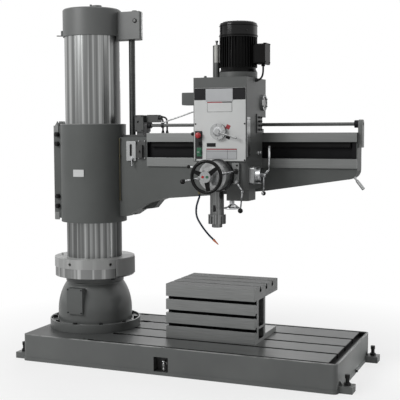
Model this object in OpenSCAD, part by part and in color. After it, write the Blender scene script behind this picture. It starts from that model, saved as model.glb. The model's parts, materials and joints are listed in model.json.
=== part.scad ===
// Radial arm drill: a column that swings on a pedestal, an arm that climbs the column
// on a screw, and a drill head that travels along the arm.
// Origin: on the column's axis at floor level. +X runs along the base, the operator stands at -Y.

/* [Base] */
// Column axis to the left end of the base
base_left = 310; // [280:1:400]
// Column axis to the right end of the base
base_right = 1886; // [1700:1:2100]
// Width of the base, front to back
base_w = 934; // [860:1:1000]
// Height of the base
base_h = 182; // [160:1:200]
// Width of the raised rim
rim_w = 15; // [12:1:20]
// Width of the coolant channel along the sides
channel_w = 22; // [16:1:30]
// Width of the coolant channel at the right end
end_channel_w = 46; // [30:1:60]
// Depth of the coolant channel
channel_d = 16; // [8:1:24]
// Distance between T-slots
slot_pitch = 212; // [180:1:230]
// Width of a T-slot's mouth
slot_w = 28; // [22:1:32]
// Width of a T-slot's wide part
slot_t_w = 50; // [44:1:60]
// Height of a T-slot's wide part
slot_t_h = 22; // [16:1:26]
// Depth of a T-slot's mouth
slot_mouth_d = 26; // [20:1:34]
// Where the T-slots begin, from the column axis
slot_x0 = 296; // [280:1:340]
// How far a levelling lug stands out
lug_l = 84; // [70:1:100]
// Width of a levelling lug
lug_w = 92; // [80:1:110]
// Thickness of a levelling lug
lug_t = 42; // [30:1:50]
// Centre of a levelling lug from the base's middle line
lug_y = 384; // [340:1:400]
// Diameter of a levelling bolt
level_bolt_d = 24; // [20:1:30]

/* [Pedestal and column] */
// Radius of the pedestal's flange
flange_r = 322; // [310:1:340]
// Height of the flange
flange_h = 61; // [50:1:70]
// Radius of the domed foot
dome_r = 263; // [250:1:270]
// Height of the pedestal's top above the floor
pedestal_top = 553; // [530:1:580]
// Radius of the neck under the clamp ring
neck_r = 206; // [200:1:215]
// Number of flange bolts
flange_bolts = 10; // [8:1:12]
// Radius of the fixed clamp ring
ring_r = 280; // [270:1:284]
// Height of the fixed clamp ring
ring_h = 66; // [56:1:76]
// Radius of the turning collar
collar_r = 284; // [275:1:290]
// Height of the turning collar
collar_h = 66; // [56:1:76]
// Radius of the column
column_r = 195; // [190:0.5:198]
// Wall of the column tube
column_wall = 30; // [22:1:36]
// Height of the column's top above the floor
column_top = 2400; // [2200:1:2700]
// Radius of the inner pillar
pillar_r = 120; // [110:1:130]
// Radius of the cap
cap_r = 205; // [202:1:210]
// How far the cap reaches down over the column
cap_drop = 170; // [150:1:190]
// Height of the cap
cap_h = 190; // [185:1:200]
// Reach of the cap's nose from the column axis
nose_x = 384; // [370:1:400]
// Width of the cap's nose
nose_w = 120; // [110:1:130]

/* [Elevating screw] */
// Screw axis from the column axis, along the arm
screw_x = 287; // [284:1:292]
// Screw axis behind the column axis
screw_y = 50; // [44:1:56]
// Radius of the screw
screw_r = 22; // [18:1:24]
// Lower end of the screw above the floor
screw_z0 = 1150; // [1100:1:1250]

/* [Arm] */
// Radius of the sleeve round the column
sleeve_r = 232; // [226:1:240]
// Lower edge of the sleeve above the floor
sleeve_z0 = 935; // [900:1:960]
// Height of the sleeve
sleeve_h = 685; // [660:1:720]
// Top of the arm's beam above the floor
arm_top = 1557; // [1545:1:1570]
// Right end of the arm from the column axis
arm_x1 = 1902; // [1850:1:1960]
// Left end of the guideways
way_x0 = 448; // [440:1:470]
// Height of one guideway
way_h = 60; // [50:1:64]
// Distance between the guideways
way_gap = 107; // [104:1:112]
// How far the guideways stand out of the casting
way_t = 15; // [12:1:18]
// Front face of the guideways, in front of the column axis
way_front = 60; // [55:1:62]
// Depth of the recess between the guideways
recess_d = 33; // [30:1:38]
// Thickness of the arm at its free end
arm_end_t = 125; // [110:1:140]
// Radius of the cable rail
rail_r = 11; // [9:1:14]
// Height of the cable rail above the floor
rail_z = 1610; // [1604:1:1620]
// Cable rail in front of the column axis
rail_y = 5; // [0:1:10]

/* [Head] */
// Left side of the head from the column axis
head_x0 = 928; // [922:1:932]
// Width of the head
head_w = 354; // [350:1:360]
// Front face of the head in front of the column axis
head_front = 370; // [362:1:380]
// Top of the head above the floor
head_top = 1903; // [1890:1:1915]
// Lower edge of the head above the floor
head_bottom = 1200; // [1190:1:1206]
// Wall of the head casting
head_wall = 18; // [14:1:19]
// Height of the front panel's lower edge
panel_z0 = 1382; // [1380:1:1390]
// Height of the front panel
panel_h = 455; // [440:1:468]
// Thickness of the front panel
panel_t = 6; // [4:1:8]

/* [Spindle] */
// Spindle axis from the column axis, along the arm
spindle_x = 1030; // [1028:0.5:1033]
// Spindle axis in front of the column axis
spindle_y = 225; // [220:1:232]
// Radius of the quill
quill_r = 45; // [43:0.5:47]
// Radius of the quill's bore
quill_bore_r = 36; // [34:0.5:37]
// Underside of the quill above the floor
quill_z0 = 1031; // [1020:1:1040]
// Length of the quill
quill_l = 499; // [480:1:505]
// Travel of the quill
quill_travel = 216; // [180:1:218]
// Radius of the nose nut
nose_r = 57; // [52:1:60]
// Height of the nose nut
nose_h = 60; // [50:1:66]
// Radius of the spindle's nose
spindle_nose_r = 34; // [32:0.5:36]
// How far the spindle stands out of the nose nut
spindle_out = 24; // [18:1:30]
// Radius of the taper socket's mouth
socket_r = 22.2; // [20:0.1:24]
// Depth of the taper socket
socket_d = 125; // [110:1:135]

/* [Feed and handwheels] */
// Height of the handwheel's axis above the floor
wheel_z = 1291; // [1286:1:1296]
// Radius of the traverse handwheel
wheel_r = 105; // [95:1:112]
// Radius of the handwheel's rim section
wheel_rim = 10.5; // [8:0.5:12]
// Radius of the graduated drum
drum_r = 92; // [85:1:96]
// Radius of the drum's black ring
drum_ring_r = 102; // [98:1:104]
// Reach of the feed levers from their axis
lever_reach = 178; // [160:1:190]
// Radius of the fine feed wheel
fine_r = 51; // [46:1:56]
// Height of the fine feed wheel's rim
fine_z = 1080; // [1072:1:1090]

/* [Motor] */
// Motor axis from the column axis, along the arm
motor_x = 1168; // [1166:0.5:1169.5]
// Radius over the motor's cooling fins
motor_r = 120; // [112:1:124]
// Height of the motor's finned body
motor_body_h = 188; // [170:1:200]
// Height of the fan cover
fan_cover_h = 100; // [80:1:110]
// Number of cooling fins
fin_count = 40; // [28:1:44]

/* [Box table] */
// Left end of the table from the column axis
table_x0 = 650; // [640:1:700]
// Length of the table
table_w = 630; // [600:1:660]
// Depth of the table
table_d = 492; // [480:1:510]
// Height of the table
table_h = 368; // [360:1:372]
// Front of the table in front of the column axis
table_front = 200; // [190:1:210]
// Thickness of the table's top slab
table_top_t = 84; // [76:1:90]
// Thickness of the table's front plate
table_front_t = 80; // [70:1:90]
// Width of the table's T-slot mouths
table_slot_w = 20; // [16:1:22]
// Distance between the table's T-slots
table_pitch = 126; // [118:1:130]

/* [Fits] */
// Radial clearance of a running fit
run_fit = 0.06; // [0.03:0.01:0.09]
// Gap between faces that turn or slide past each other
face_gap = 0.3; // [0.2:0.1:0.5]
// Radial clearance of a fixed seat
seat_fit = 0.05; // [0.02:0.01:0.08]

/* [Hidden] */

grey = [0.36, 0.38, 0.37];
dark_grey = [0.25, 0.26, 0.26];
steel = [0.66, 0.67, 0.67];
machined = [0.5, 0.51, 0.5];
black = [0.08, 0.08, 0.09];
silver = [0.78, 0.79, 0.8];

// Base
draft = 3;
corner_r = 30;
machined_x1 = base_right - rim_w - end_channel_w;
slot_depth = slot_mouth_d + slot_t_h;
entry_w = 46;
entry_l = 84;
pocket_x = 732;
pocket_w = 102;
pocket_h = 96;
pocket_z0 = 22;
pocket_d = 60;
foot_t = 35;

// Column group
collar_z0 = pedestal_top + ring_h + face_gap;
collar_top = collar_z0 + collar_h;
column_z0 = collar_z0;
tube_r = column_r - column_wall;
cap_z0 = column_top - cap_drop;
pillar_top = cap_z0 + 90;
cap_top = cap_z0 + cap_h;
nose_z0 = cap_z0 - 24;
nose_h2 = cap_h - 1;
bar_hole_r = 11;
bar_hole_depth = 45;
first_bar_hole = -98.6;

// Arm
sleeve_top = sleeve_z0 + sleeve_h;
sleeve_bore = column_r + run_fit;
way_z1 = arm_top;
band_z1 = way_z1 - way_h;
band_z0 = band_z1 - way_gap;
way_z0 = band_z0 - way_h;
casting_front = way_front - way_t;
neck_top = arm_top - 27;
neck_back = 100;
ear_x = 292;
ear_w = 58;
ear_slit = 6;
clamp_bolt_z = [102, 172, 548, 615];
handle_at = [arm_x1 - 20, -casting_front + 12, way_z0 - 54];
handle_d = unit([0.62, 0, -0.78]);
nut_h = 90;
nut_r = 38;
gearbox_x = 338;
gearbox_w = 66;

// Head
head_x1 = head_x0 + head_w;
head_back = way_front + face_gap;
overhang_z = rail_z + rail_r + 35;
overhang_back = 10;
cavity_z0 = wheel_z - 51;
cavity_z1 = head_top - 25;
cavity_y0 = head_front - 20;
cavity_y1 = head_back + 24;
guide_x1 = spindle_x + quill_r + 6;
panel_x0 = head_x0 + 7;
panel_w = head_w - 11;
panel_front = head_front + panel_t;
strip_x0 = panel_x0 + 6;
strip_w = 48;
strip_z0 = panel_z0 + 12;
strip_h = 175;
strip_t = 3;
switch_front = panel_front + strip_t;
switch_x = strip_x0 + 29;
estop_z = strip_z0 + 148;
selector_z = strip_z0 + 97;
start_z = strip_z0 + 43;
shaft_r = 5;

// Spindle and feed
rack_m = 3;
feed_teeth = 16;
feed_r = rack_m * feed_teeth / 2;
rack_line = quill_r - 0.9 * rack_m;
wheel_x = spindle_x + rack_line + feed_r;
quill_top = quill_z0 + quill_l;
drive_z0 = quill_top + 15;
gear_w = 26;
gear_m = 4;
drive_teeth = 38;
motor_teeth = 32;
drive_r = gear_m * drive_teeth / 2;
centre_d = gear_m * (drive_teeth + motor_teeth) / 2;
motor_dx = motor_x - spindle_x;
motor_y = spindle_y - sqrt(centre_d * centre_d - motor_dx * motor_dx);
motor_angle = atan2(spindle_y - motor_y, motor_dx);
spline_r = 20;
hub_r = 32;
drum_y0 = head_front + panel_t + 2;
drum_y1 = drum_y0 + 98;
hub_y1 = drum_y1 + 45;
wheel_y = head_front + 205;
hollow_r = 20;
wheel_shaft_r = 12;

// Traverse gears
wheel_teeth = 20;
pinion_gear_teeth = 50;
pinion_teeth = 16;
pinion_r = gear_m * pinion_teeth / 2;
pinion_z = wheel_z + gear_m * (wheel_teeth + pinion_gear_teeth) / 2;
rack_z = pinion_z + pinion_r;
gear_y = 122;

// Worm shaft of the fine feed
fine_x = wheel_x + 57;
fine_y = 280;
fine_box_z0 = head_bottom - 70;

// Levers
dial_x = head_x0 + 174;
dial_z = panel_z0 + 183;
dial_r = 51;
clutch_x = wheel_x + 132;
clutch_z = wheel_z - 41;
side_hub_y = 262;
side_hub_z = wheel_z;
side_hub_r = 52;

// Motor
motor_z0 = head_top + 8;
motor_flange_h = 27;
motor_body_z0 = motor_z0 + 58;
fan_z0 = motor_body_z0 + motor_body_h;

// Coolant hose: route points chosen by hand
hose_r = 7;
hose_points = [[950, -330, 1166], [950, -330, 1152], [945, -330, 1136], [938, -330, 1118],
    [932, -330, 1098], [928, -330, 1076], [927, -330, 1054], [929, -330, 1034],
    [935, -330, 1014], [944, -330, 996], [956, -330, 978], [970, -330, 958],
    [986, -330, 938], [1002, -330, 920], [1019, -330, 902], [1035, -330, 888],
    [1046, -330, 878]];
hose_ribs = 34;

// Conduit between the arm and the head: route points chosen by hand
conduit_r = 5;
conduit_points = [[545, -5, 1627], [600, -9, 1645], [680, -16, 1668], [760, -27, 1692],
    [840, -42, 1714], [900, -56, 1727], [921, -60, 1731]];

// Cable loops on the arm: route points chosen by hand
cable_r = 6;
cable_a = [[500, 32, 1660], [513, 32, 1660], [524, 32, 1653], [529, 32, 1640],
    [530, 32, 1620], [530, 32, 1590], [530, 32, 1557]];
cable_b = [[500, 58, 1668], [515, 58, 1668], [532, 58, 1665], [544, 58, 1655],
    [549, 58, 1640], [550, 58, 1605], [550, 58, 1557]];
motor_cable_points = [[1330, -190, 1979], [1330, -190, 1960], [1329, -190, 1938],
    [1325, -190, 1918], [1316, -190, 1902], [1303, -190, 1892], [1292, -190, 1889],
    [1282, -190, 1889]];

// Helpers

// A box between two corners
module block(low, high) {
    translate(low) cube(high - low);
}

// A cylinder along Y, from y0 in front to y1 behind it
module bar_y(x, z, y0, y1, r) {
    translate([x, y1, z]) rotate([90, 0, 0]) cylinder(h = y1 - y0, r = r, $fn = 96);
}

// A cylinder along X
module bar_x(y, z, x0, x1, r) {
    translate([x0, y, z]) rotate([0, 90, 0]) cylinder(h = x1 - x0, r = r, $fn = 96);
}

// A cylinder along Z
module bar_z(x, y, z0, z1, r) {
    translate([x, y, z0]) cylinder(h = z1 - z0, r = r, $fn = 96);
}

// A rod between two points
module rod(a, b, r) {
    v = b - a;
    tilt = acos(v[2] / norm(v));
    turn = atan2(v[1], v[0]);
    translate(a) rotate([0, tilt, turn]) cylinder(h = norm(v), r = r, $fn = 32);
}

// A rectangle with round corners, from the origin
module round_rect(w, h, r) {
    translate([r, 0]) square([w - 2 * r, h]);
    translate([0, r]) square([w, h - 2 * r]);
    for (x = [r, w - r], y = [r, h - r]) translate([x, y]) circle(r, $fn = 48);
}

// An XZ outline made solid between two depths in front of the column axis
module front_slab(front, back) {
    translate([0, -back, 0]) rotate([90, 0, 0]) linear_extrude(front - back) children();
}

// Rotates a vector turned from +Z onto a direction and gives a ring of points
function ring(c, d, r, n) =
    let (u = abs(d[2]) > 0.9 ? [1, 0, 0] : [0, 0, 1],
         a = cross(d, u) / norm(cross(d, u)),
         b = cross(d, a))
    [for (i = [0 : n - 1]) c + r * (cos(360 * i / n) * a + sin(360 * i / n) * b)];

function unit(v) = v / norm(v);

function direction(p, i) =
    unit(p[min(i + 1, len(p) - 1)] - p[max(i - 1, 0)]);

// Faces of a tube of rings, as triangles, with closed ends
function tube_faces(rings, n) = concat(
    [for (i = [1 : n - 2]) [0, i, i + 1]],
    [for (i = [0 : rings - 2], j = [0 : n - 1])
        [i * n + j, (i + 1) * n + j, (i + 1) * n + (j + 1) % n]],
    [for (i = [0 : rings - 2], j = [0 : n - 1])
        [i * n + j, (i + 1) * n + (j + 1) % n, i * n + (j + 1) % n]],
    [for (i = [1 : n - 2])
        [(rings - 1) * n, (rings - 1) * n + i + 1, (rings - 1) * n + i]]);

// A round cord along a route
module cord(points, r, n) {
    all = [for (i = [0 : len(points) - 1])
        each ring(points[i], direction(points, i), r, n)];
    polyhedron(all, tube_faces(len(points), n), convexity = 6);
}

// A point at a share of the way along a route
function along(p, t) =
    let (s = t * (len(p) - 1), i = min(floor(s), len(p) - 2), f = s - i)
    p[i] * (1 - f) + p[i + 1] * f;

function along_direction(p, t) = unit(along(p, min(t + 0.02, 1)) - along(p, max(t - 0.02, 0)));

// Involute gear outline: tooth centred on angle 0
function involute(a) = tan(a) * 180 / PI - a;
function tooth_half(m, z, rho, play) =
    let (r = m * z / 2, rb = r * cos(20), a = rho > rb ? acos(rb / rho) : 0)
    90 / z - play / (2 * r) * 180 / PI + involute(20) - involute(a);
function gear_points(m, z, play) =
    let (r = m * z / 2, rb = r * cos(20), ra = r + 0.9 * m, rf = r - 1.15 * m,
         r0 = max(rb, rf), steps = 4)
    [for (k = [0 : z - 1])
        let (c = 360 * k / z)
        each concat(
            [rf * [cos(c - tooth_half(m, z, r0, play) - 0.3), sin(c - tooth_half(m, z, r0, play) - 0.3)]],
            [for (i = [0 : steps])
                let (rho = r0 + (ra - r0) * i / steps, h = tooth_half(m, z, rho, play))
                rho * [cos(c - h), sin(c - h)]],
            [for (i = [steps : -1 : 0])
                let (rho = r0 + (ra - r0) * i / steps, h = tooth_half(m, z, rho, play))
                rho * [cos(c + h), sin(c + h)]],
            [rf * [cos(c + tooth_half(m, z, r0, play) + 0.3), sin(c + tooth_half(m, z, r0, play) + 0.3)]])];
module gear_2d(m, z, bore) {
    difference() {
        polygon(gear_points(m, z, 0.12));
        circle(bore, $fn = 64);
    }
}

// One gap of a rack, with its mouth towards +Y and the pitch line at the origin
function rack_gap(m, x) =
    let (p = PI * m, top = 1.3 * m, low = -1.2 * m, w = p / 4 + 0.06)
    [[x - w - top * tan(20), top], [x - w - low * tan(20), low],
     [x + w + low * tan(20), low], [x + w + top * tan(20), top]];

// A T-slot's section: mouth at y = 0, opening upwards
module t_slot(mouth, mouth_d, wide, wide_h) {
    translate([-mouth / 2, -mouth_d - wide_h]) square([mouth, mouth_d + wide_h + 5]);
    translate([-wide / 2, -mouth_d - wide_h]) square([wide, wide_h]);
}

// Base group

module base_outline(extra) {
    translate([-base_left - extra, -base_w / 2 - extra])
        round_rect(base_left + base_right + 2 * extra, base_w + 2 * extra, corner_r);
}

module level_lug(x, side) {
    y = side * lug_y;
    difference() {
        union() {
            block([x - (x > 0 ? 40 : lug_l), y - lug_w / 2, 0], [x + (x > 0 ? lug_l : 40), y + lug_w / 2, lug_t]);
            translate([x, y + 10, lug_t - 1]) rotate([90, 0, 0])
                linear_extrude(20) polygon(x > 0 ? [[-20, 0], [18, 0], [-20, 60]] : [[20, 0], [-18, 0], [20, 60]]);
        }
        bar_z(x + (x > 0 ? 1 : -1) * (lug_l - 40), y, -5, lug_t + 80, level_bolt_d / 2 + seat_fit);
    }
}

module base_casting() {
    top_l = base_left + base_right;
    color(grey) difference() {
        union() {
            linear_extrude(base_h) base_outline(0);
            linear_extrude(24) base_outline(draft);
            for (s = [-1, 1]) {
                level_lug(base_right, s);
                level_lug(-base_left, s);
            }
        }
        // T-slots with their oval entries
        for (i = [-1 : 1]) {
            translate([slot_x0, i * slot_pitch, base_h]) rotate([90, 0, 90])
                linear_extrude(machined_x1 - slot_x0 + 1) t_slot(slot_w, slot_mouth_d, slot_t_w, slot_t_h);
            if (i != 0) translate([slot_x0, i * slot_pitch, base_h - slot_depth])
                linear_extrude(slot_depth + 5)
                    translate([-entry_l / 2, -slot_t_w / 2]) round_rect(entry_l, slot_t_w, slot_t_w / 2 - 0.5);
        }
        // Coolant channel at the sides and the right end
        for (s = [-1, 1])
            translate([slot_x0 - 70, s > 0 ? base_w / 2 - rim_w - channel_w : -base_w / 2 + rim_w, base_h - channel_d])
                cube([base_right - rim_w - slot_x0 + 70, channel_w, channel_d + 5]);
        block([machined_x1, -base_w / 2 + rim_w, base_h - channel_d - 12],
            [base_right - rim_w, base_w / 2 - rim_w, base_h + 5]);
        for (s = [-1, 1]) translate([slot_x0 - 110, s * (base_w / 2 - rim_w - channel_w / 2 - 6), base_h - channel_d - 10])
            linear_extrude(60) translate([-40, -17]) round_rect(80, 34, 16.5);
        // Tap pocket in the front wall
        block([pocket_x - pocket_w / 2, -base_w / 2 - draft - 5, pocket_z0],
            [pocket_x + pocket_w / 2, -base_w / 2 + pocket_d, pocket_z0 + pocket_h]);
        // Hollow underside with a middle web
        for (x = [420, 1160])
            block([x, -base_w / 2 + 110, -5], [x + 660, base_w / 2 - 60, 60]);
    }
}

module coolant_tap() {
    y0 = -base_w / 2 + pocket_d;
    color(silver) {
        bar_y(pocket_x + 8, pocket_z0 + 40, y0 - 34, y0, 9);
        bar_z(pocket_x + 8, y0 - 34, pocket_z0 + 12, pocket_z0 + 58, 10);
        block([pocket_x - 8, y0 - 38, pocket_z0 + 60], [pocket_x + 24, y0 - 30, pocket_z0 + 68]);
        bar_z(pocket_x + 8, y0 - 34, pocket_z0 + 58, pocket_z0 + 61, 5);
    }
}

module hex_head(d, h) {
    cylinder(h = h, r = d * 0.86, $fn = 6);
}

module base_bolts() {
    color(black) {
        // Levelling bolts in the four lugs
        for (s = [-1, 1], x = [base_right + lug_l - 40, -base_left - lug_l + 40]) translate([x, s * lug_y, 0]) {
            translate([0, 0, 6]) cylinder(h = lug_t + 44, r = level_bolt_d / 2, $fn = 48);
            translate([0, 0, lug_t]) hex_head(level_bolt_d, 16);
            translate([0, 0, lug_t + 44]) cylinder(h = 22, r = level_bolt_d * 0.62, $fn = 48);
        }
        // Flange bolts
        for (i = [0 : flange_bolts - 1]) rotate([0, 0, 360 / flange_bolts * (i + 0.5)])
            translate([(dome_r + flange_r) / 2, 0, base_h + flange_h - 14]) {
                cylinder(h = 5, r = 17, $fn = 48);
                translate([0, 0, 5]) hex_head(18, 14);
            }
        // Bolts that hold the clamp ring from below
        for (a = [-150, -30, 90]) rotate([0, 0, a])
            translate([(neck_r + ring_r) / 2, 0, pedestal_top - 16]) hex_head(18, 16);
        // Bolts of the box table's foot
        for (x = [table_x0 + 90, table_x0 + table_w - 90])
            translate([x, slot_pitch - 8, base_h + foot_t]) {
                cylinder(h = 5, r = 19, $fn = 48);
                translate([0, 0, 5]) hex_head(19, 16);
            }
    }
}

// The dome's radius at a height above the flange
function dome_at(z) = dome_r * sqrt(1 - pow(max(z, 0) / 318, 2));

module column_pedestal() {
    z_dome = base_h + 118;
    z_neck = pedestal_top - 48;
    steps = 10;
    color(grey) difference() {
        union() {
            rotate_extrude($fn = 128) polygon(concat(
                [[0, base_h], [flange_r, base_h], [flange_r, base_h + flange_h],
                 [flange_r - 10, base_h + flange_h], [flange_r - 12, base_h + flange_h - 14],
                 [dome_r + 4, base_h + flange_h - 14], [dome_r, base_h + flange_h - 6]],
                [for (i = [0 : steps])
                    let (z = z_dome + (z_neck - z_dome) * i / steps) [dome_at(z - z_dome), z]],
                [[neck_r, z_neck + 8], [neck_r, pedestal_top], [0, pedestal_top]]));
        }
        bar_z(0, 0, base_h - 5, pedestal_top + 5, pillar_r + seat_fit);
    }
}

module pedestal_cover() {
    front = dome_r + 15;
    color(dark_grey) difference() {
        translate([0, -front, base_h + 124]) rotate([-90, 0, 0]) translate([-71, -179, 0])
            linear_extrude(90) round_rect(122, 179, 5);
        bar_z(0, 0, base_h, pedestal_top, dome_r - 30);
        rotate_extrude($fn = 128) polygon(concat([[0, base_h], [dome_r + 0.3, base_h], [dome_r + 0.3, base_h + 118]],
            [for (i = [0 : 10])
                let (z = base_h + 118 + (pedestal_top - base_h - 166) * i / 10)
                [dome_at(z - base_h - 118) + 0.3, z]],
            [[0, pedestal_top - 48]]));
    }
}

module inner_pillar() {
    color(steel) difference() {
        bar_z(0, 0, base_h, pillar_top, pillar_r);
        bar_z(0, 0, base_h + 40, pillar_top + 5, pillar_r - 30);
    }
}

module pillar_bearings() {
    color(steel) for (z = [collar_z0 + 20, pillar_top - 60]) difference() {
        bar_z(0, 0, z, z + 50, tube_r - run_fit);
        bar_z(0, 0, z - 5, z + 55, pillar_r + seat_fit);
    }
}

module clamp_ring() {
    color(steel) difference() {
        bar_z(0, 0, pedestal_top, pedestal_top + ring_h, ring_r);
        bar_z(0, 0, pedestal_top - 5, pedestal_top + ring_h + 5, pillar_r + seat_fit);
    }
}

// Box table: one section drawn along X, open at both ends
module table_section() {
    web_y = table_front_t + 106;
    web_t = 34;
    difference() {
        union() {
            square([table_front_t, table_h]);
            translate([0, table_h - table_top_t]) square([table_d, table_top_t]);
            translate([web_y, 0]) square([web_t, table_h]);
            square([web_y + web_t + 2, 22]);
            translate([0, 90]) square([web_y + web_t, 16]);
            translate([web_y, 0]) square([table_d - 32 - web_y, foot_t]);
        }
        for (i = [-1 : 1]) {
            translate([table_d / 2 + i * table_pitch, table_h]) t_slot(table_slot_w, 18, 36, 18);
            translate([0, table_h - 93 - 91 * (i + 1)]) rotate([0, 0, 90]) t_slot(table_slot_w, 22, 36, 20);
        }
    }
}

module box_table() {
    color(machined) translate([table_x0, -table_front, base_h]) rotate([90, 0, 90])
        linear_extrude(table_w) table_section();
}

// Column group

module column_tube() {
    color(steel) difference() {
        bar_z(0, 0, column_z0, column_top, column_r);
        bar_z(0, 0, column_z0 - 5, column_top + 5, tube_r);
    }
}

module swivel_collar() {
    claw_r = collar_r + 6;
    color(silver) difference() {
        union() {
            bar_z(0, 0, collar_z0, collar_top, collar_r);
            // Claw that reaches down over the fixed ring
            intersection() {
                difference() {
                    bar_z(0, 0, pedestal_top + 12, collar_top - 4, claw_r);
                    bar_z(0, 0, pedestal_top, collar_z0, ring_r + face_gap);
                }
                translate([0, 0, pedestal_top]) linear_extrude(collar_h + ring_h)
                    polygon([[0, 0], [400, -230], [400, 130]]);
            }
            // Lubrication nipple
            rotate([0, 0, 195]) translate([(column_r + collar_r) / 2, 0, collar_top]) cylinder(h = 14, r = 7, $fn = 32);
        }
        bar_z(0, 0, collar_z0 - 100, collar_top + 5, column_r + seat_fit);
        for (i = [0 : 5]) rotate([0, 0, first_bar_hole + 60 * i])
            translate([collar_r - bar_hole_depth, 0, collar_z0 + 31]) rotate([0, 90, 0])
                cylinder(h = bar_hole_depth + 20, r = bar_hole_r, $fn = 48);
    }
}

module column_cap() {
    y0 = screw_y - nose_w / 2;
    color(grey) {
        difference() {
            union() {
                rotate_extrude($fn = 128) polygon([[0, cap_z0], [cap_r, cap_z0], [cap_r, cap_top - 8],
                    [cap_r - 8, cap_top], [0, cap_top]]);
                // Nose with its end rounded towards the back
                intersection() {
                    translate([0, y0, nose_z0]) rotate([90, 0, 0]) mirror([0, 0, 1])
                        linear_extrude(nose_w) round_rect(nose_x, nose_h2, 14);
                    translate([0, y0, nose_z0 - 5]) linear_extrude(nose_h2 + 10) hull() {
                        translate([-5, 0]) square([nose_x - 95, nose_w]);
                        translate([nose_x - 12, 12]) circle(12, $fn = 48);
                        translate([nose_x - 67, nose_w - 40]) circle(40, $fn = 96);
                    }
                }
            }
            // Seat for the column tube, and room for the pillar
            bar_z(0, 0, nose_z0 - 5, column_top, column_r + seat_fit);
            // Seat for the screw
            bar_z(screw_x, screw_y, nose_z0 - 5, nose_z0 + 100, screw_r + seat_fit);
        }
        bar_z(40, 0, cap_top, cap_top + 30, 34);
        bar_z(-8, 0, cap_top, cap_top + 40, 8);
        // Stop bracket low on the far left of the cap
        rotate([0, 0, 208]) block([cap_r - 0.5, -10, cap_z0 + 6], [cap_r + 12, 10, cap_z0 + 44]);
        rotate([0, 0, 208]) block([cap_r + 11, -10, cap_z0 + 6], [cap_r + 42, 10, cap_z0 + 12]);
        bar_y(nose_x - 44, nose_z0 + 124, y0 - 6, y0, 10);
        bar_z(nose_x - 75, screw_y, nose_z0 + nose_h2, nose_z0 + nose_h2 + 12, 18);
    }
}

module elevating_screw() {
    color(dark_grey) {
        bar_z(screw_x, screw_y, screw_z0, nose_z0 + 100, screw_r);
        translate([screw_x, screw_y, screw_z0]) mirror([0, 0, 1]) cylinder(h = 10, r1 = screw_r, r2 = screw_r - 6, $fn = 64);
    }
}

// Arm group

// The arm seen from the front, without its sleeve
module arm_profile() {
    polygon([[0, neck_top], [way_x0 - 4, neck_top], [way_x0 - 4, arm_top],
        [arm_x1, arm_top], [arm_x1, way_z0 - 10],
        for (i = [1 : 6]) [arm_x1 - 60 + 60 * cos(15 * i), way_z0 - 10 - 60 * sin(15 * i)],
        [1312, way_z0 - 151], [914, way_z0 - 191], [666, way_z0 - 212], [560, way_z0 - 221],
        for (i = [1 : 5]) [560 - 54 * i, way_z0 - 221 - 15 * i - 2.2 * i * i],
        [232, way_z0 - 352], [0, way_z0 - 352]]);
}

// The arm seen from above, without its sleeve
module arm_plan() {
    back_end = arm_end_t - casting_front;
    polygon([[0, -casting_front], [arm_x1, -casting_front], [arm_x1, back_end],
        [720, back_end + 55], [way_x0 - 18, screw_y + neck_back], [0, screw_y + neck_back]]);
}

module arm_beam() {
    intersection() {
        front_slab(casting_front, -screw_y - 120) arm_profile();
        translate([0, 0, sleeve_z0]) linear_extrude(arm_top - sleeve_z0 + 10) arm_plan();
    }
    // Rib under the neck, at the back
    front_slab(-screw_y, -screw_y - 80)
        polygon([[150, way_z0 - 340], [300, way_z0 - 318], [448, way_z0 - 298], [506, way_z0 - 232],
            [500, way_z0 - 150], [150, way_z0 - 150]]);
}

// Cells in the arm's back
module arm_cells() {
    cell = 176;
    step = 196;
    count = floor((arm_x1 - 50 - 640) / step);
    for (i = [0 : count - 1])
        let (x = 640 + i * step, low = way_z0 - 170 + 0.105 * (x - 640))
        front_slab(-30, -260) translate([x, low]) round_rect(cell, arm_top - 40 - low, 20);
}

module arm_casting() {
    color(grey) difference() {
        union() {
            arm_beam();
            bar_z(0, 0, sleeve_z0, sleeve_top, sleeve_r);
            // Split clamp ears opposite the arm
            translate([-ear_x, -ear_w, sleeve_z0 + 15]) cube([ear_x - 150, 2 * ear_w, sleeve_h - 25]);
            for (s = [-1, 1]) translate([-ear_x + 22, s > 0 ? 8 : -30, sleeve_top - 10])
                rotate([90, 0, 90]) linear_extrude(26) polygon([[0, 0], [22, 0], [11, 34]]);
        }
        bar_z(0, 0, sleeve_z0 - 60, sleeve_top + 60, sleeve_bore);
        block([-ear_x - 5, -ear_slit / 2, sleeve_z0 - 5], [-150, ear_slit / 2, sleeve_top + 60]);
        // Recess between the guideways
        block([way_x0 - 2, -casting_front - 5, band_z0 + 2],
            [arm_x1 - 32, -casting_front + recess_d, band_z1 - 2]);
        // Way for the elevating screw and seat for its nut
        bar_z(screw_x, screw_y, sleeve_z0 - 50, neck_top + 5, screw_r + 2);
        bar_z(screw_x, screw_y, neck_top - nut_h, neck_top + 5, nut_r + seat_fit);
        arm_cells();
        // Socket of the handle
        rod(handle_at - 13 * handle_d, handle_at + 40 * handle_d, 7 + seat_fit);
        // Holes for the clamp bolts
        for (z = clamp_bolt_z) bar_y(-ear_x + 32, sleeve_z0 + z, -ear_w - 5, ear_w + 5, 11);
    }
}

module arm_guideways() {
    color(steel) for (z = [way_z0, band_z1]) difference() {
        block([way_x0, -way_front, z], [arm_x1, -casting_front, z + way_h]);
    }
}

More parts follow.
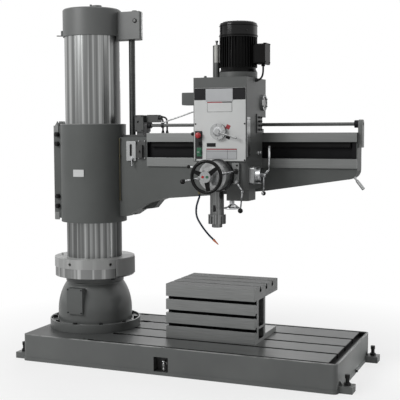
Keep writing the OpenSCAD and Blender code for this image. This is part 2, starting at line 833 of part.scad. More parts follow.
module arm_rack() {
    y0 = -casting_front + 8;
    pitch = PI * gear_m;
    first = ceil((way_x0 + 20 - wheel_x) / pitch);
    last = floor((arm_x1 - 50 - wheel_x) / pitch);
    color(steel) translate([0, y0, 0]) rotate([-90, 0, 0]) mirror([0, 1, 0])
        linear_extrude(recess_d - 8) difference() {
            translate([wheel_x + (first - 0.5) * pitch, rack_z - 0.9 * gear_m])
                square([(last - first + 1) * pitch, band_z1 - 2 - rack_z + 0.9 * gear_m]);
            for (i = [first : last]) translate([0, rack_z]) mirror([0, 1, 0])
                polygon(rack_gap(gear_m, wheel_x + i * pitch));
        }
}

module sleeve_bolts() {
    color(black) for (z = clamp_bolt_z) {
        bar_y(-ear_x + 32, sleeve_z0 + z, -ear_w - 30, ear_w + 26, 10.8);
        translate([-ear_x + 32, -ear_w, sleeve_z0 + z]) rotate([90, 0, 0]) hex_head(21, 22);
        translate([-ear_x + 32, ear_w + 20, sleeve_z0 + z]) rotate([90, 0, 0]) hex_head(21, 20);
    }
}

module elevating_gearbox() {
    y0 = -20;
    y1 = 100;
    color(grey) difference() {
        union() {
            // Foot plate over the nut
            block([screw_x - 46, y0 + 6, neck_top], [gearbox_x + gearbox_w + 6, y1 - 2, neck_top + 16]);
            block([gearbox_x + 10, y0 + 12, neck_top + 15], [gearbox_x + gearbox_w - 6, y1 - 10, neck_top + 40]);
            translate([gearbox_x, y0, neck_top + 36]) rotate([90, 0, 0]) mirror([0, 0, 1])
                linear_extrude(y1 - y0) round_rect(gearbox_w, 116, 6);
        }
        bar_z(screw_x, screw_y, neck_top - 5, neck_top + 20, screw_r + 2);
        bar_y(gearbox_x + 26, neck_top + 104, y0 - 1, y0 + 12, 8);
    }
}

module elevating_motor() {
    x = screw_x + 76;
    z = neck_top - 140;
    y0 = screw_y + neck_back;
    color(black) difference() {
        union() {
            bar_y(x, z, y0, y0 + 16, 60);
            bar_y(x, z, y0 + 16, y0 + 180, 50);
            for (i = [0 : 23]) translate([x, y0 + 30, z]) rotate([0, 15 * i, 0])
                block([-2, 0, 48], [2, 140, 58]);
            bar_y(x, z, y0 + 170, y0 + 218, 60);
        }
        bar_y(x, z, y0 + 210, y0 + 230, 44);
    }
    finned_box();
}

// Finned switch box on the gearbox's right side
module finned_box() {
    x0 = gearbox_x + gearbox_w;
    z0 = neck_top + 101;
    color(black) {
        block([x0, 20, z0 + 4], [x0 + 8, 72, z0 + 48]);
        block([x0 + 7, 16, z0], [500, 76, z0 + 46]);
        for (i = [0 : 8]) block([x0 + 14 + i * 9, 14, z0 + 45], [x0 + 18 + i * 9, 78, z0 + 52]);
    }
}

module elevating_nut() {
    color("goldenrod") difference() {
        bar_z(screw_x, screw_y, neck_top - nut_h, neck_top, nut_r);
        bar_z(screw_x, screw_y, neck_top - nut_h - 5, neck_top + 5, screw_r + run_fit);
    }
}

module arm_cables() {
    color(black) {
        cord(cable_a, cable_r, 8);
        cord(cable_b, cable_r, 8);
    }
}

module lube_pipe() {
    x = sqrt(sleeve_r * sleeve_r - casting_front * casting_front) + 10;
    y = -casting_front - 10;
    color("darkkhaki") {
        bar_z(x, y, way_z0 - 232, neck_top - 10, 3.5);
        for (z = [way_z0 - 240, way_z0 + 60, neck_top - 24]) {
            bar_z(x, y, z, z + 16, 6);
            bar_y(x, z + 8, y, -casting_front, 4);
        }
    }
}

module limit_switch() {
    x0 = screw_x + 4;
    z0 = band_z0 - 24;
    front = casting_front + 14;
    color(silver) difference() {
        front_slab(front, casting_front) translate([x0, z0]) round_rect(72, 136, 5);
        front_slab(front + 5, casting_front + 4) translate([x0 + 26, z0 + 32]) round_rect(18, 84, 8.9);
        bar_y(x0 + 44, z0 + 16, -front - 5, -casting_front + 5, 5);
    }
    // Small switch box beside the plate
    color(dark_grey) front_slab(casting_front + 26, casting_front)
        translate([x0 + 82, z0 + 20]) round_rect(44, 92, 8);
    color(silver) bar_y(x0 + 104, z0 + 66, -casting_front - 40, -casting_front - 26, 7);
}

module arm_lock_lever() {
    x = screw_x + 48;
    z = band_z0 - 8;
    front = casting_front + 14;
    color(silver) {
        bar_y(x, z, -front - 16, -casting_front - 2, 5 - run_fit);
        bar_y(x, z, -front - 18, -front - face_gap, 11);
        rod([x, -front - 10, z - 6], [x + 5, -front - 12, z - 44], 5);
        translate([x + 5, -front - 12, z - 46]) sphere(7, $fn = 32);
    }
}

module cable_rail() {
    color(grey) bar_x(-rail_y, rail_z, way_x0 - 30, arm_x1 + 10, rail_r);
    color(black) {
        bar_x(-rail_y, rail_z, way_x0 - 8, way_x0 - 8 + 20, 20);
        bar_x(-rail_y, rail_z, arm_x1 - 26, arm_x1 - 4, 24);
    }
}

module rail_brackets() {
    color(grey) {
        // Right bracket on the arm's end face
        difference() {
            union() {
                translate([arm_x1, -rail_y, 0]) rotate([90, 0, 90]) linear_extrude(28) {
                    translate([-28, rail_z - 148]) square([56, 148]);
                    translate([0, rail_z]) circle(28, $fn = 64);
                }
            }
            bar_x(-rail_y, rail_z, arm_x1 - 5, arm_x1 + 35, rail_r + seat_fit);
        }
        // Left bracket on the neck
        difference() {
            translate([way_x0 - 32, -rail_y, 0]) rotate([90, 0, 90]) linear_extrude(20) {
                translate([-22, neck_top]) square([44, rail_z - neck_top]);
                translate([0, rail_z]) circle(22, $fn = 64);
            }
            bar_x(-rail_y, rail_z, way_x0 - 40, way_x0, rail_r + seat_fit);
        }
    }
}

module arm_handle() {
    color(silver) {
        rod(handle_at - 12 * handle_d, handle_at + 30 * handle_d, 7);
        rod(handle_at + 26 * handle_d, handle_at + 96 * handle_d, 9);
    }
}

// Head group

module head_outer() {
    corner = 26;
    block([head_x0, -head_front, panel_z0 - 6], [head_x1, -head_back, head_top]);
    block([head_x0, -head_back - 2, overhang_z], [head_x1, overhang_back, head_top]);
    // Lower part round the quill and the feed shafts
    translate([head_x0 + 8, -head_front + 8, head_bottom]) linear_extrude(panel_z0 - head_bottom) hull() {
        translate([0, 60]) square([head_w - 10, head_front - head_back - 68]);
        for (x = [corner, head_w - 10 - corner]) translate([x, corner]) circle(corner, $fn = 64);
    }
    // Worm housing
    translate([fine_x - 26, -fine_y - 50, fine_box_z0]) linear_extrude(75)
        round_rect(head_x1 - 4 - fine_x + 26, 166, 24);
    // Lips that hold the head on the guideways
    block([head_x0, -head_back - 2, way_z1 + face_gap], [head_x1, -casting_front + 15, way_z1 + 24]);
    block([head_x0 + 8, -head_back - 2, way_z0 - 26], [head_x1 - 2, -casting_front - face_gap, way_z0 - face_gap]);
    // Seat ring of the motor
    bar_z(motor_x, -motor_y, head_top - 2, motor_z0, motor_r + 1);
    // Front boss of the feed drum
    bar_y(wheel_x, wheel_z, -panel_front, -head_front + 12, drum_r - 8);
}

module head_cavities() {
    // Gear room behind the front panel
    block([head_x0 + head_wall, -cavity_y0, panel_z0 + 18],
        [head_x1 - head_wall, -cavity_y1, cavity_z1]);
    // Room of the feed shafts beside the quill's guide
    block([guide_x1, -cavity_y0, cavity_z0], [head_x1 - head_wall, -cavity_y1, panel_z0 + 20]);
    // Window that the front panel covers
    front_slab(head_front + 5, cavity_y0 - 5)
        translate([panel_x0 + 58, panel_z0 + 130]) round_rect(panel_w - 110, panel_h - 170, 12);
    // Quill guide
    bar_z(spindle_x, -spindle_y, head_bottom - 5, panel_z0 + 25, quill_r + run_fit);
    // Room for the feed pinion and its hollow shaft
    bar_y(wheel_x, wheel_z, -spindle_y - 18, -spindle_y + 18, feed_r + 5);
    bar_y(wheel_x, wheel_z, -cavity_y0 - 5, -spindle_y - 10, hollow_r + 1);
    // Room for the traverse gears
    bar_y(wheel_x, pinion_z, -gear_y - 18, -gear_y + 18, gear_m * pinion_gear_teeth / 2 + 8);
    bar_y(wheel_x, wheel_z, -gear_y - 18, -gear_y + 18, gear_m * wheel_teeth / 2 + 7);
    // Bores of the feed shaft, the traverse pinion and the worm shaft
    bar_y(wheel_x, wheel_z, -panel_front - 5, -cavity_y0 + 5, hollow_r + run_fit);
    bar_y(wheel_x, wheel_z, -cavity_y1 - 5, -cavity_y1 + 14, wheel_shaft_r + run_fit);
    bar_y(wheel_x, pinion_z, -cavity_y1 - 5, -head_back + 5, 14 + run_fit);
    bar_z(fine_x, -fine_y, fine_box_z0 - 5, cavity_z0 + 5, 10 + run_fit);
    // Bores of the drive sleeve and the motor shaft
    bar_z(spindle_x, -spindle_y, cavity_z1 - 5, head_top - 6, hub_r + run_fit);
    bar_z(motor_x, -motor_y, cavity_z1 - 5, motor_z0 + 5, 40);
    // Bores of the dial and the clutch lever
    bar_y(clutch_x, clutch_z, -head_front - 5, -cavity_y0 - 2, 7 + run_fit);
    // Seat of the coolant fitting
    bar_z(hose_points[0][0], hose_points[0][1], head_bottom - 5, head_bottom + 12, 7 + seat_fit);
    // Holes of the switches
    for (z = [estop_z, selector_z, start_z])
        bar_y(switch_x, z, -head_front - 5, -head_front + 15, shaft_r + 1);
}

module head_casting() {
    color(grey) difference() {
        head_outer();
        head_cavities();
    }
}

module front_panel() {
    color([0.82, 0.83, 0.82]) difference() {
        front_slab(panel_front, head_front) translate([panel_x0, panel_z0]) round_rect(panel_w, panel_h, 4);
        bar_y(dial_x, dial_z, -panel_front - 5, -head_front + 5, shaft_r + 3 + run_fit);
        for (z = [estop_z, selector_z, start_z])
            bar_y(switch_x, z, -panel_front - 5, -head_front + 5, shaft_r + run_fit);
    }
}

module switch_plate() {
    color(black) difference() {
        front_slab(switch_front, panel_front) translate([strip_x0, strip_z0]) round_rect(strip_w, strip_h, 3);
        for (z = [estop_z, selector_z, start_z])
            bar_y(switch_x, z, -switch_front - 5, -panel_front + 5, shaft_r + run_fit);
    }
}

module motor_housing() {
    body_z1 = fan_z0;
    color(black) difference() {
        union() {
            translate([motor_x, -motor_y, 0]) rotate_extrude($fn = 96) polygon([[0, motor_z0],
                [motor_r + 1, motor_z0], [motor_r + 1, motor_z0 + motor_flange_h],
                [motor_r - 8, motor_body_z0 - 12], [motor_r - 10, body_z1], [0, body_z1]]);
            for (i = [0 : fin_count - 1]) translate([motor_x, -motor_y, motor_body_z0])
                rotate([0, 0, 360 * i / fin_count]) translate([motor_r - 14, -2, 0]) cube([14, 4, motor_body_h]);
            // Pad of the terminal box
            block([motor_x + motor_r - 14, -motor_y - 40, motor_body_z0 + 24],
                [motor_x + motor_r + 4, -motor_y + 40, motor_body_z0 + 136]);
        }
        // Room for the rotor, and the bearings' bores
        bar_z(motor_x, -motor_y, motor_z0 + 22, body_z1 - 18, motor_r - 32);
        bar_z(motor_x, -motor_y, motor_z0 - 5, body_z1 + 5, 14 + run_fit);
    }
}

module fan_cover() {
    r = motor_r + 1;
    color(black) difference() {
        translate([motor_x, -motor_y, fan_z0]) rotate_extrude($fn = 96) polygon([[0, 0], [r, 0],
            [r, fan_cover_h - 22], [r - 4, fan_cover_h - 10], [r - 14, fan_cover_h - 3],
            [r - 30, fan_cover_h], [0, fan_cover_h]]);
        bar_z(motor_x, -motor_y, fan_z0 - 5, fan_z0 + fan_cover_h - 14, r - 5);
        // Air slots in the top
        for (i = [0 : 11]) translate([motor_x, -motor_y, fan_z0]) rotate([0, 0, 30 * i])
            translate([28, -5, fan_cover_h - 30]) cube([r - 70, 10, 60]);
    }
}

module terminal_box() {
    x0 = motor_x + motor_r + 4;
    z0 = motor_body_z0 + 18;
    color(black) difference() {
        union() {
            translate([x0, -motor_y - 48, z0]) rotate([90, 0, 90]) linear_extrude(58) round_rect(96, 126, 10);
            translate([x0 + 57, -motor_y - 52, z0 - 4]) rotate([90, 0, 90]) linear_extrude(14) round_rect(104, 134, 12);
            bar_z(x0 + 38, -190, z0 - 12, z0 + 2, 12);
        }
        bar_z(x0 + 38, -190, z0 - 15, z0 - 4, cable_r + seat_fit);
    }
}

module motor_cable() {
    color(black) cord(motor_cable_points, cable_r, 8);
}

module side_box() {
    color(grey) translate([head_x0 - 112, -300, panel_z0 + 353]) rotate([90, 0, 0]) mirror([0, 0, 1])
        linear_extrude(90) round_rect(112, 80, 6);
}

module side_fittings() {
    color(silver) {
        // Round inspection cover
        difference() {
            bar_x(-54, head_top - 152, head_x1, head_x1 + 16, 52);
            bar_x(-54, head_top - 152, head_x1 + 8, head_x1 + 25, 40);
        }
        // Two small clamp knobs on the left side
        for (k = [[head_x0 + 7, 60, panel_z0 - 41], [head_x0 - 1, 22, panel_z0 + 169]]) {
            rod([k[0], -head_front + 40, k[2] - 6], [k[0] - k[1] + 8, -head_front + 40, k[2]], 5);
            translate([k[0] - k[1], -head_front + 40, k[2]]) rotate([0, 0, 90]) sphere(12, $fn = 32);
        }
        // Side strip
        block([head_x1, -head_front + 4, panel_z0 + 26], [head_x1 + 4, -head_front + 60, panel_z0 + 272]);
    }
    // Hub of the direction lever
    color(silver) difference() {
        translate([head_x1 - 2, -side_hub_y - 58, side_hub_z - 55]) rotate([90, 0, 90])
            linear_extrude(34) round_rect(116, 110, 14);
        bar_x(-side_hub_y, side_hub_z, head_x1 + 6, head_x1 + 40, 12 + run_fit);
    }
}

module spindle_guard() {
    color(silver) {
        bar_z(spindle_x, -spindle_y, head_top, head_top + 102, 18);
        bar_z(spindle_x, -spindle_y, head_top + 102, head_top + 214, 17);
        bar_z(spindle_x, -spindle_y, head_top + 214, head_top + 230, 6);
        bar_z(spindle_x, -spindle_y, head_top + 230, head_top + 240, 9);
    }
    color(black) block([spindle_x - 24, -spindle_y - 8, head_top], [spindle_x - 17.5, -spindle_y + 8, head_top + 210]);
}

module feed_bracket() {
    y0 = head_front - 8;
    color([0.6, 0.61, 0.6]) difference() {
        front_slab(y0 + 16, y0) translate([clutch_x - 40, clutch_z - 12]) round_rect(48, 132, 6);
        bar_y(clutch_x, clutch_z, -y0 - 20, -y0 + 5, 7 + run_fit);
        bar_y(wheel_x, wheel_z, -y0 - 20, -y0 + 5, drum_ring_r + 6);
    }
}

module coolant_hose() {
    p = hose_points;
    n = 8;
    count = 2 * hose_ribs;
    bore = 3.5;
    stations = [for (i = [0 : count]) i / count];
    outer = [for (i = [0 : count])
        each ring(along(p, stations[i]), along_direction(p, stations[i]), i == 0 || i == count ? hose_r
            : (i % 2 == 0 ? hose_r : hose_r - 1.6), n)];
    inner = [for (i = [0 : count])
        each ring(along(p, stations[i]), along_direction(p, stations[i]), bore, n)];
    shift = len(outer);
    function quad(a, b, c, d) = [[a, b, c], [a, c, d]];
    faces = concat(
        [for (i = [0 : count - 1], j = [0 : n - 1])
            each quad(i * n + j, (i + 1) * n + j, (i + 1) * n + (j + 1) % n, i * n + (j + 1) % n)],
        [for (i = [0 : count - 1], j = [0 : n - 1])
            each quad(shift + i * n + j, shift + i * n + (j + 1) % n,
                shift + (i + 1) * n + (j + 1) % n, shift + (i + 1) * n + j)],
        [for (j = [0 : n - 1]) each quad(j, (j + 1) % n, shift + (j + 1) % n, shift + j)],
        [for (j = [0 : n - 1]) each quad(count * n + j, shift + count * n + j,
            shift + count * n + (j + 1) % n, count * n + (j + 1) % n)]);
    color(black) polyhedron(concat(outer, inner), faces, convexity = 10);
}

module coolant_nozzle() {
    last = len(hose_points) - 1;
    tip = hose_points[last];
    d = direction(hose_points, last);
    start = hose_points[0];
    color("orangered") {
        rod(tip, tip + 8 * d, 8);
        translate(tip + 8 * d) rotate([0, acos(d[2]), atan2(d[1], d[0])]) cylinder(h = 36, r1 = 7, r2 = 3, $fn = 32);
    }
    color("gold") {
        bar_z(start[0], start[1], start[2], head_bottom + 10, 7);
        bar_z(start[0], start[1], start[2] + 8, start[2] + 22, 11);
    }
}

module head_conduit() {
    last = conduit_points[len(conduit_points) - 1];
    color(grey) {
        cord(conduit_points, conduit_r, 8);
        difference() {
            bar_x(-rail_y, rail_z, conduit_points[0][0] - 8, conduit_points[0][0] + 8, rail_r + 7);
            bar_x(-rail_y, rail_z, conduit_points[0][0] - 12, conduit_points[0][0] + 12, rail_r + 0.4);
        }
    }
    color(black) bar_x(last[1], last[2], last[0], head_x0, 8);
}

module motor_rotor() {
    color(machined) {
        bar_z(motor_x, -motor_y, drive_z0 - 4, fan_z0 + 60, 14);
        bar_z(motor_x, -motor_y, motor_z0 + 50, fan_z0 - 50, motor_r - 34);
        translate([motor_x, -motor_y, drive_z0]) rotate([0, 0, motor_angle + 180 + 180 / motor_teeth])
            linear_extrude(gear_w) gear_2d(gear_m, motor_teeth, 13);
        // Fan
        bar_z(motor_x, -motor_y, fan_z0 + 14, fan_z0 + 24, motor_r - 16);
        for (i = [0 : 6]) translate([motor_x, -motor_y, fan_z0 + 23]) rotate([0, 0, 360 / 7 * i])
            translate([13, -2, 0]) cube([motor_r - 32, 4, 34]);
    }
}

module spline_2d(r, tooth_h, tooth_w) {
    circle(r, $fn = 64);
    for (i = [0 : 5]) rotate([0, 0, 60 * i]) translate([0, -tooth_w / 2]) square([r + tooth_h, tooth_w]);
}

module drive_gear() {
    color(machined) translate([spindle_x, -spindle_y, 0]) difference() {
        union() {
            translate([0, 0, drive_z0]) rotate([0, 0, motor_angle])
                linear_extrude(gear_w) gear_2d(gear_m, drive_teeth, 10);
            translate([0, 0, drive_z0]) cylinder(h = head_top - 12 - drive_z0, r = hub_r, $fn = 96);
        }
        translate([0, 0, drive_z0 - 5]) linear_extrude(head_top - drive_z0) spline_2d(spline_r + 0.2, 4, 6.4);
    }
}

module quill() {
    pitch = PI * rack_m;
    z_low = wheel_z - 2 * pitch;
    count = floor((quill_top - 8 - z_low) / pitch);
    color(steel) difference() {
        bar_z(spindle_x, -spindle_y, quill_z0, quill_top, quill_r);
        bar_z(spindle_x, -spindle_y, quill_z0 - 5, quill_top + 5, quill_bore_r);
        // Rack cut into the side that faces the feed pinion
        translate([spindle_x + rack_line, -spindle_y + 13, 0]) rotate([90, 0, 0]) linear_extrude(26)
            for (i = [0 : count]) rotate([0, 0, -90]) polygon(rack_gap(rack_m, -(z_low + i * pitch)));
        // Slot for the drift that pushes tools out
        block([spindle_x - 9, -spindle_y - 60, quill_z0 + 19], [spindle_x + 9, -spindle_y + 60, quill_z0 + 62]);
    }
}

module nose_nut() {
    color(machined) difference() {
        bar_z(spindle_x, -spindle_y, quill_z0 - nose_h, quill_z0, nose_r);
        bar_z(spindle_x, -spindle_y, quill_z0 - nose_h - 5, quill_z0 + 5, spindle_nose_r + 0.6);
        for (i = [0 : 5]) translate([spindle_x, -spindle_y, quill_z0 - nose_h - 5]) rotate([0, 0, 60 * i + 15])
            translate([nose_r - 7, -7, 0]) cube([20, 14, nose_h - 6]);
    }
}

module spindle_bearings() {
    color(steel) for (z = [quill_z0 + 66, quill_top - 40]) difference() {
        bar_z(spindle_x, -spindle_y, z, z + 28, quill_bore_r - seat_fit);
        bar_z(spindle_x, -spindle_y, z - 5, z + 33, 26 + run_fit);
    }
}

module spindle() {
    z0 = quill_z0 - nose_h - spindle_out;
    shoulder = quill_z0 + 64;
    color(silver) difference() {
        union() {
            translate([spindle_x, -spindle_y, 0]) rotate_extrude($fn = 96) polygon([[0, z0],
                [spindle_nose_r - 3, z0], [spindle_nose_r, z0 + 3], [spindle_nose_r, shoulder],
                [26, shoulder], [26, quill_top + 8], [0, quill_top + 8]]);
            translate([spindle_x, -spindle_y, quill_top + 5])
                linear_extrude(quill_travel + 55) spline_2d(spline_r - 0.1, 3.8, 6);
        }
        translate([spindle_x, -spindle_y, z0 - 0.01]) cylinder(h = socket_d, r1 = socket_r, r2 = socket_r - socket_d / 40, $fn = 96);
        block([spindle_x - 7, -spindle_y - 60, quill_z0 + 22], [spindle_x + 7, -spindle_y + 60, quill_z0 + 60]);
    }
}

module feed_drum() {
    color(silver) difference() {
        union() {
            bar_y(wheel_x, wheel_z, -drum_y1, -drum_y0 - 20, drum_r);
            bar_y(wheel_x, wheel_z, -hub_y1, -drum_y1 + 1, 58);
            bar_y(wheel_x, wheel_z, -drum_y0 - 21, -spindle_y - 10, hollow_r);
            translate([wheel_x, -spindle_y + 11, wheel_z]) rotate([90, 0, 0]) rotate([0, 0, 180])
                linear_extrude(22) gear_2d(rack_m, feed_teeth, 10);
            // Black ring at the head's face
            bar_y(wheel_x, wheel_z, -drum_y0 - 22, -drum_y0, drum_ring_r);
        }
        bar_y(wheel_x, wheel_z, -hub_y1 - 5, -spindle_y + 30, wheel_shaft_r + run_fit);
        // Sockets of the feed levers
        for (a = [11, 191]) translate([wheel_x, -hub_y1 + 22, wheel_z]) rotate([0, -a, 0])
            translate([36, 0, 0]) rotate([0, 90, 0]) cylinder(h = 40, r = 8 + seat_fit, $fn = 48);
    }
}

module feed_levers() {
    y0 = -hub_y1 + 22;
    for (a = [11, 191]) translate([wheel_x, y0, wheel_z]) rotate([0, -a, 0]) {
        color(silver) {
            translate([38, 0, 0]) rotate([0, 90, 0]) cylinder(h = 34, r = 8, $fn = 48);
            rod([71, 0, 0], [lever_reach - 14, -30, 0], 7);
        }
        color(black) translate([lever_reach, -34, 0]) sphere(17, $fn = 48);
    }
}

module fine_feed_wheel() {
    color(silver) translate([fine_x, -fine_y, 0]) {
        translate([0, 0, fine_z]) rotate_extrude($fn = 96) translate([fine_r - 6, 0]) circle(6, $fn = 32);
        for (i = [0 : 2]) rotate([0, 0, 120 * i + 30]) rod([10, 0, fine_z + 26], [fine_r - 6, 0, fine_z + 1], 4.5);
        translate([0, 0, fine_z + 14]) cylinder(h = 30, r1 = 13, r2 = 16, $fn = 64);
        translate([0, 0, fine_z + 40]) cylinder(h = cavity_z0 + 40 - fine_z - 40, r = 10, $fn = 64);
    }
}

module traverse_handwheel() {
    color(black) {
        translate([wheel_x, -wheel_y, wheel_z]) rotate([90, 0, 0])
            rotate_extrude($fn = 128) translate([wheel_r - wheel_rim, 0]) circle(wheel_rim, $fn = 32);
        for (i = [0 : 2]) translate([wheel_x, -wheel_y, wheel_z]) rotate([0, 120 * i - 38, 0])
            rotate([90, 0, 0])
            translate([0, 0, -7]) linear_extrude(14)
                polygon([[0, -17], [36, -15], [wheel_r - wheel_rim, -9], [wheel_r - wheel_rim, 9], [36, 15], [0, 17]]);
    }
    color(silver) difference() {
        union() {
            bar_y(wheel_x, wheel_z, -wheel_y - 24, -wheel_y + 18, 35);
            bar_y(wheel_x, wheel_z, -wheel_y + 10, -gear_y - 6, wheel_shaft_r);
            bar_y(wheel_x, wheel_z, -gear_y - 8, -cavity_y1 + 10, wheel_shaft_r);
            translate([wheel_x, -gear_y + gear_w / 2, wheel_z]) rotate([90, 0, 0]) rotate([0, 0, 90])
                linear_extrude(gear_w) gear_2d(gear_m, wheel_teeth, 9);
        }
        for (s = [-1, 1]) bar_y(wheel_x + s * 14, wheel_z, -wheel_y - 30, -wheel_y - 8, 8 + run_fit);
    }
}

module hub_button(side, tint) {
    color(tint) bar_y(wheel_x + side * 14, wheel_z, -wheel_y - 28, -wheel_y - 12, 8);
}

module traverse_pinion() {
    y1 = -casting_front + 10;
    color(machined) {
        bar_y(wheel_x, pinion_z, -gear_y - 16, y1 + 22, 14);
        translate([wheel_x, -gear_y + gear_w / 2, pinion_z]) rotate([90, 0, 0])
            rotate([0, 0, -90 + 180 / pinion_gear_teeth])
                linear_extrude(gear_w) gear_2d(gear_m, pinion_gear_teeth, 13);
        translate([wheel_x, y1 + 20, pinion_z]) rotate([90, 0, 0]) rotate([0, 0, 90])
            linear_extrude(20) gear_2d(gear_m, pinion_teeth, 13);
    }
}

module speed_dial() {
    front = panel_front + face_gap;
    color(silver) {
        bar_y(dial_x, dial_z, -front - 24, -front, dial_r);
        bar_y(dial_x, dial_z, -front - 5, -head_front + 8, shaft_r + 3);
        bar_y(dial_x, dial_z, -front - 40, -front - 20, 16);
        rod([dial_x + 10, -front - 32, dial_z - 4], [dial_x + 122, -front - 32, dial_z - 38], 5);
        translate([dial_x + 124, -front - 32, dial_z - 39]) sphere(8, $fn = 32);
    }
}

module clutch_lever() {
    y = -head_front - 8 - face_gap - 12;
    color(silver) {
        bar_y(clutch_x, clutch_z, y - 2, -cavity_y0 - 8, 7);
        bar_y(clutch_x, clutch_z, y - 6, -head_front - 8 - face_gap, 12);
        rod([clutch_x, y - 1, clutch_z - 6], [clutch_x + 34, y - 1, clutch_z - 54], 5);
        translate([clutch_x + 34, y - 1, clutch_z - 56]) sphere(10, $fn = 32);
        rod([clutch_x + 34, y - 1, clutch_z - 58], [clutch_x + 22, y - 1, clutch_z - 164], 5);
    }
    color(black) translate([clutch_x + 21, y - 1, clutch_z - 176]) sphere(16, $fn = 48);
}

module direction_lever() {
    x0 = head_x1 + 32 + face_gap;
    color(silver) {
        bar_x(-side_hub_y, side_hub_z, head_x1 + 8, x0 + 2, 12);
        bar_x(-side_hub_y, side_hub_z, x0, x0 + 34, side_hub_r);
        bar_x(-side_hub_y, side_hub_z, x0 + 30, x0 + 60, 13);
        rod([x0 + 50, -side_hub_y, side_hub_z + 6], [x0 + 78, -side_hub_y, side_hub_z + 34], 6);
        rod([x0 + 78, -side_hub_y, side_hub_z + 30], [x0 + 80, -side_hub_y, side_hub_z + 112], 6);
        rod([x0 + 80, -side_hub_y, side_hub_z + 110], [x0 + 80, -side_hub_y, side_hub_z + 184], 8);
        rod([x0 + 44, -side_hub_y, side_hub_z - 8], [x0 + 44, -side_hub_y, side_hub_z - 104], 5);
    }
    color(black) translate([x0 + 44, -side_hub_y, side_hub_z - 114]) sphere(14, $fn = 48);
}

module selector_knob() {
    color(black) {
        bar_y(switch_x, selector_z, -switch_front - 10, -head_front + 8, shaft_r);
        bar_y(switch_x, selector_z, -switch_front - 12, -switch_front - face_gap, 13);
        block([switch_x - 4, -switch_front - 22, selector_z - 12], [switch_x + 4, -switch_front - 11, selector_z + 12]);
    }
}

module estop_button() {
    color("red") {
        bar_y(switch_x, estop_z, -switch_front - 22, -head_front + 8, shaft_r);
        translate([switch_x, -switch_front - 12, estop_z]) rotate([90, 0, 0]) rotate_extrude($fn = 64)
            polygon([[0, 0], [16, 0], [18.5, 4], [18.5, 12], [15, 17], [8, 20], [0, 21]]);
    }
}

module start_button() {
    color("green") {
        bar_y(switch_x, start_z, -switch_front - 10, -head_front + 8, shaft_r);
        bar_y(switch_x, start_z, -switch_front - 12, -switch_front - 6, 14);
    }
}

base_casting();
base_bolts();
coolant_tap();
column_pedestal();
pedestal_cover();
inner_pillar();
pillar_bearings();
clamp_ring();
box_table();
column_tube();
swivel_collar();
column_cap();
elevating_screw();
arm_casting();
arm_guideways();
arm_rack();
sleeve_bolts();
elevating_gearbox();
elevating_motor();
elevating_nut();
arm_cables();
lube_pipe();
limit_switch();
cable_rail();
rail_brackets();
arm_handle();
arm_lock_lever();
head_casting();
front_panel();
switch_plate();
motor_housing();
fan_cover();
terminal_box();
motor_cable();
side_box();
side_fittings();
spindle_guard();
feed_bracket();
coolant_hose();
coolant_nozzle();
head_conduit();
motor_rotor();
drive_gear();
quill();
nose_nut();
spindle_bearings();
spindle();
feed_drum();
feed_levers();
fine_feed_wheel();
traverse_handwheel();
traverse_pinion();
speed_dial();
clutch_lever();
direction_lever();
selector_knob();
estop_button();
start_button();
hub_button(-1, "red");  // clamp_button
hub_button(1, "green");  // release_button
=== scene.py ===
import json
import bpy
from math import cos, pi, radians, sin
from mathutils import Matrix, Vector

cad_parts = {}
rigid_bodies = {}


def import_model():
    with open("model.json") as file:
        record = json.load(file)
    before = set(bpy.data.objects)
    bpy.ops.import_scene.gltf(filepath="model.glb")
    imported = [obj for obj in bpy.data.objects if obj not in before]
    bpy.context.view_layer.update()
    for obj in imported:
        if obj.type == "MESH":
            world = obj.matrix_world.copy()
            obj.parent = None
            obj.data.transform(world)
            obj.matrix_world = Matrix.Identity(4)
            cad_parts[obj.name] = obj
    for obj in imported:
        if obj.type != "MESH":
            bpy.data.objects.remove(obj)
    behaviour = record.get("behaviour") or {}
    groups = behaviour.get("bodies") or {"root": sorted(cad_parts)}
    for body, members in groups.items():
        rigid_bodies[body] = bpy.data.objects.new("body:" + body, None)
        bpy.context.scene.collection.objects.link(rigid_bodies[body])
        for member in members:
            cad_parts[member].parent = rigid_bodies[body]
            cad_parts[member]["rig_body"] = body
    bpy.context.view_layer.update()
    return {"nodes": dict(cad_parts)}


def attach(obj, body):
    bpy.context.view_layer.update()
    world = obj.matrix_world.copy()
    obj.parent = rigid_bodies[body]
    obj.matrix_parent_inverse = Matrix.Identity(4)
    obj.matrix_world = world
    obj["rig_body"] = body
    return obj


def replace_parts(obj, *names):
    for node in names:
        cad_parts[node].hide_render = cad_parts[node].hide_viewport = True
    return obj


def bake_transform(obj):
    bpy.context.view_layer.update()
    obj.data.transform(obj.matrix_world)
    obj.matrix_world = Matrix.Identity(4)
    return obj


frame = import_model()
nodeOf = frame["nodes"]
print("frame loaded,", len(nodeOf), "nodes")

# Camera at the photograph's viewpoint
cameraValues = {"place": (3.0807, -5.511, 1.5574), "azimuth": 22.32, "tilt": 4.37, "roll": -0.19,
                "lens": 79.06, "sensor": 36.0}


def addCamera(values):
    bpy.ops.object.camera_add(location=values["place"])
    camera = bpy.context.object
    turn = (Matrix.Rotation(radians(values["azimuth"]), 3, "Z")
            @ Matrix.Rotation(radians(90 - values["tilt"]), 3, "X")
            @ Matrix.Rotation(radians(values["roll"]), 3, "Z"))
    camera.rotation_euler = turn.to_euler()
    camera.data.lens = values["lens"]
    camera.data.sensor_width = values["sensor"]
    bpy.context.scene.camera = camera


addCamera(cameraValues)
print("camera placed")

# How edges are broken and shaded, and the gap that is welded
edgeValues = {"segments": 2, "bevelAngle": 30, "smoothAngle": 32, "weld": 0.00001, "flat": 0.5}

# Every material by its name
materials = {}


# Small modelling helpers
def clearSelection():
    bpy.ops.object.select_all(action="DESELECT")


def soloSelect(piece):
    clearSelection()
    piece.select_set(True)
    bpy.context.view_layer.objects.active = piece


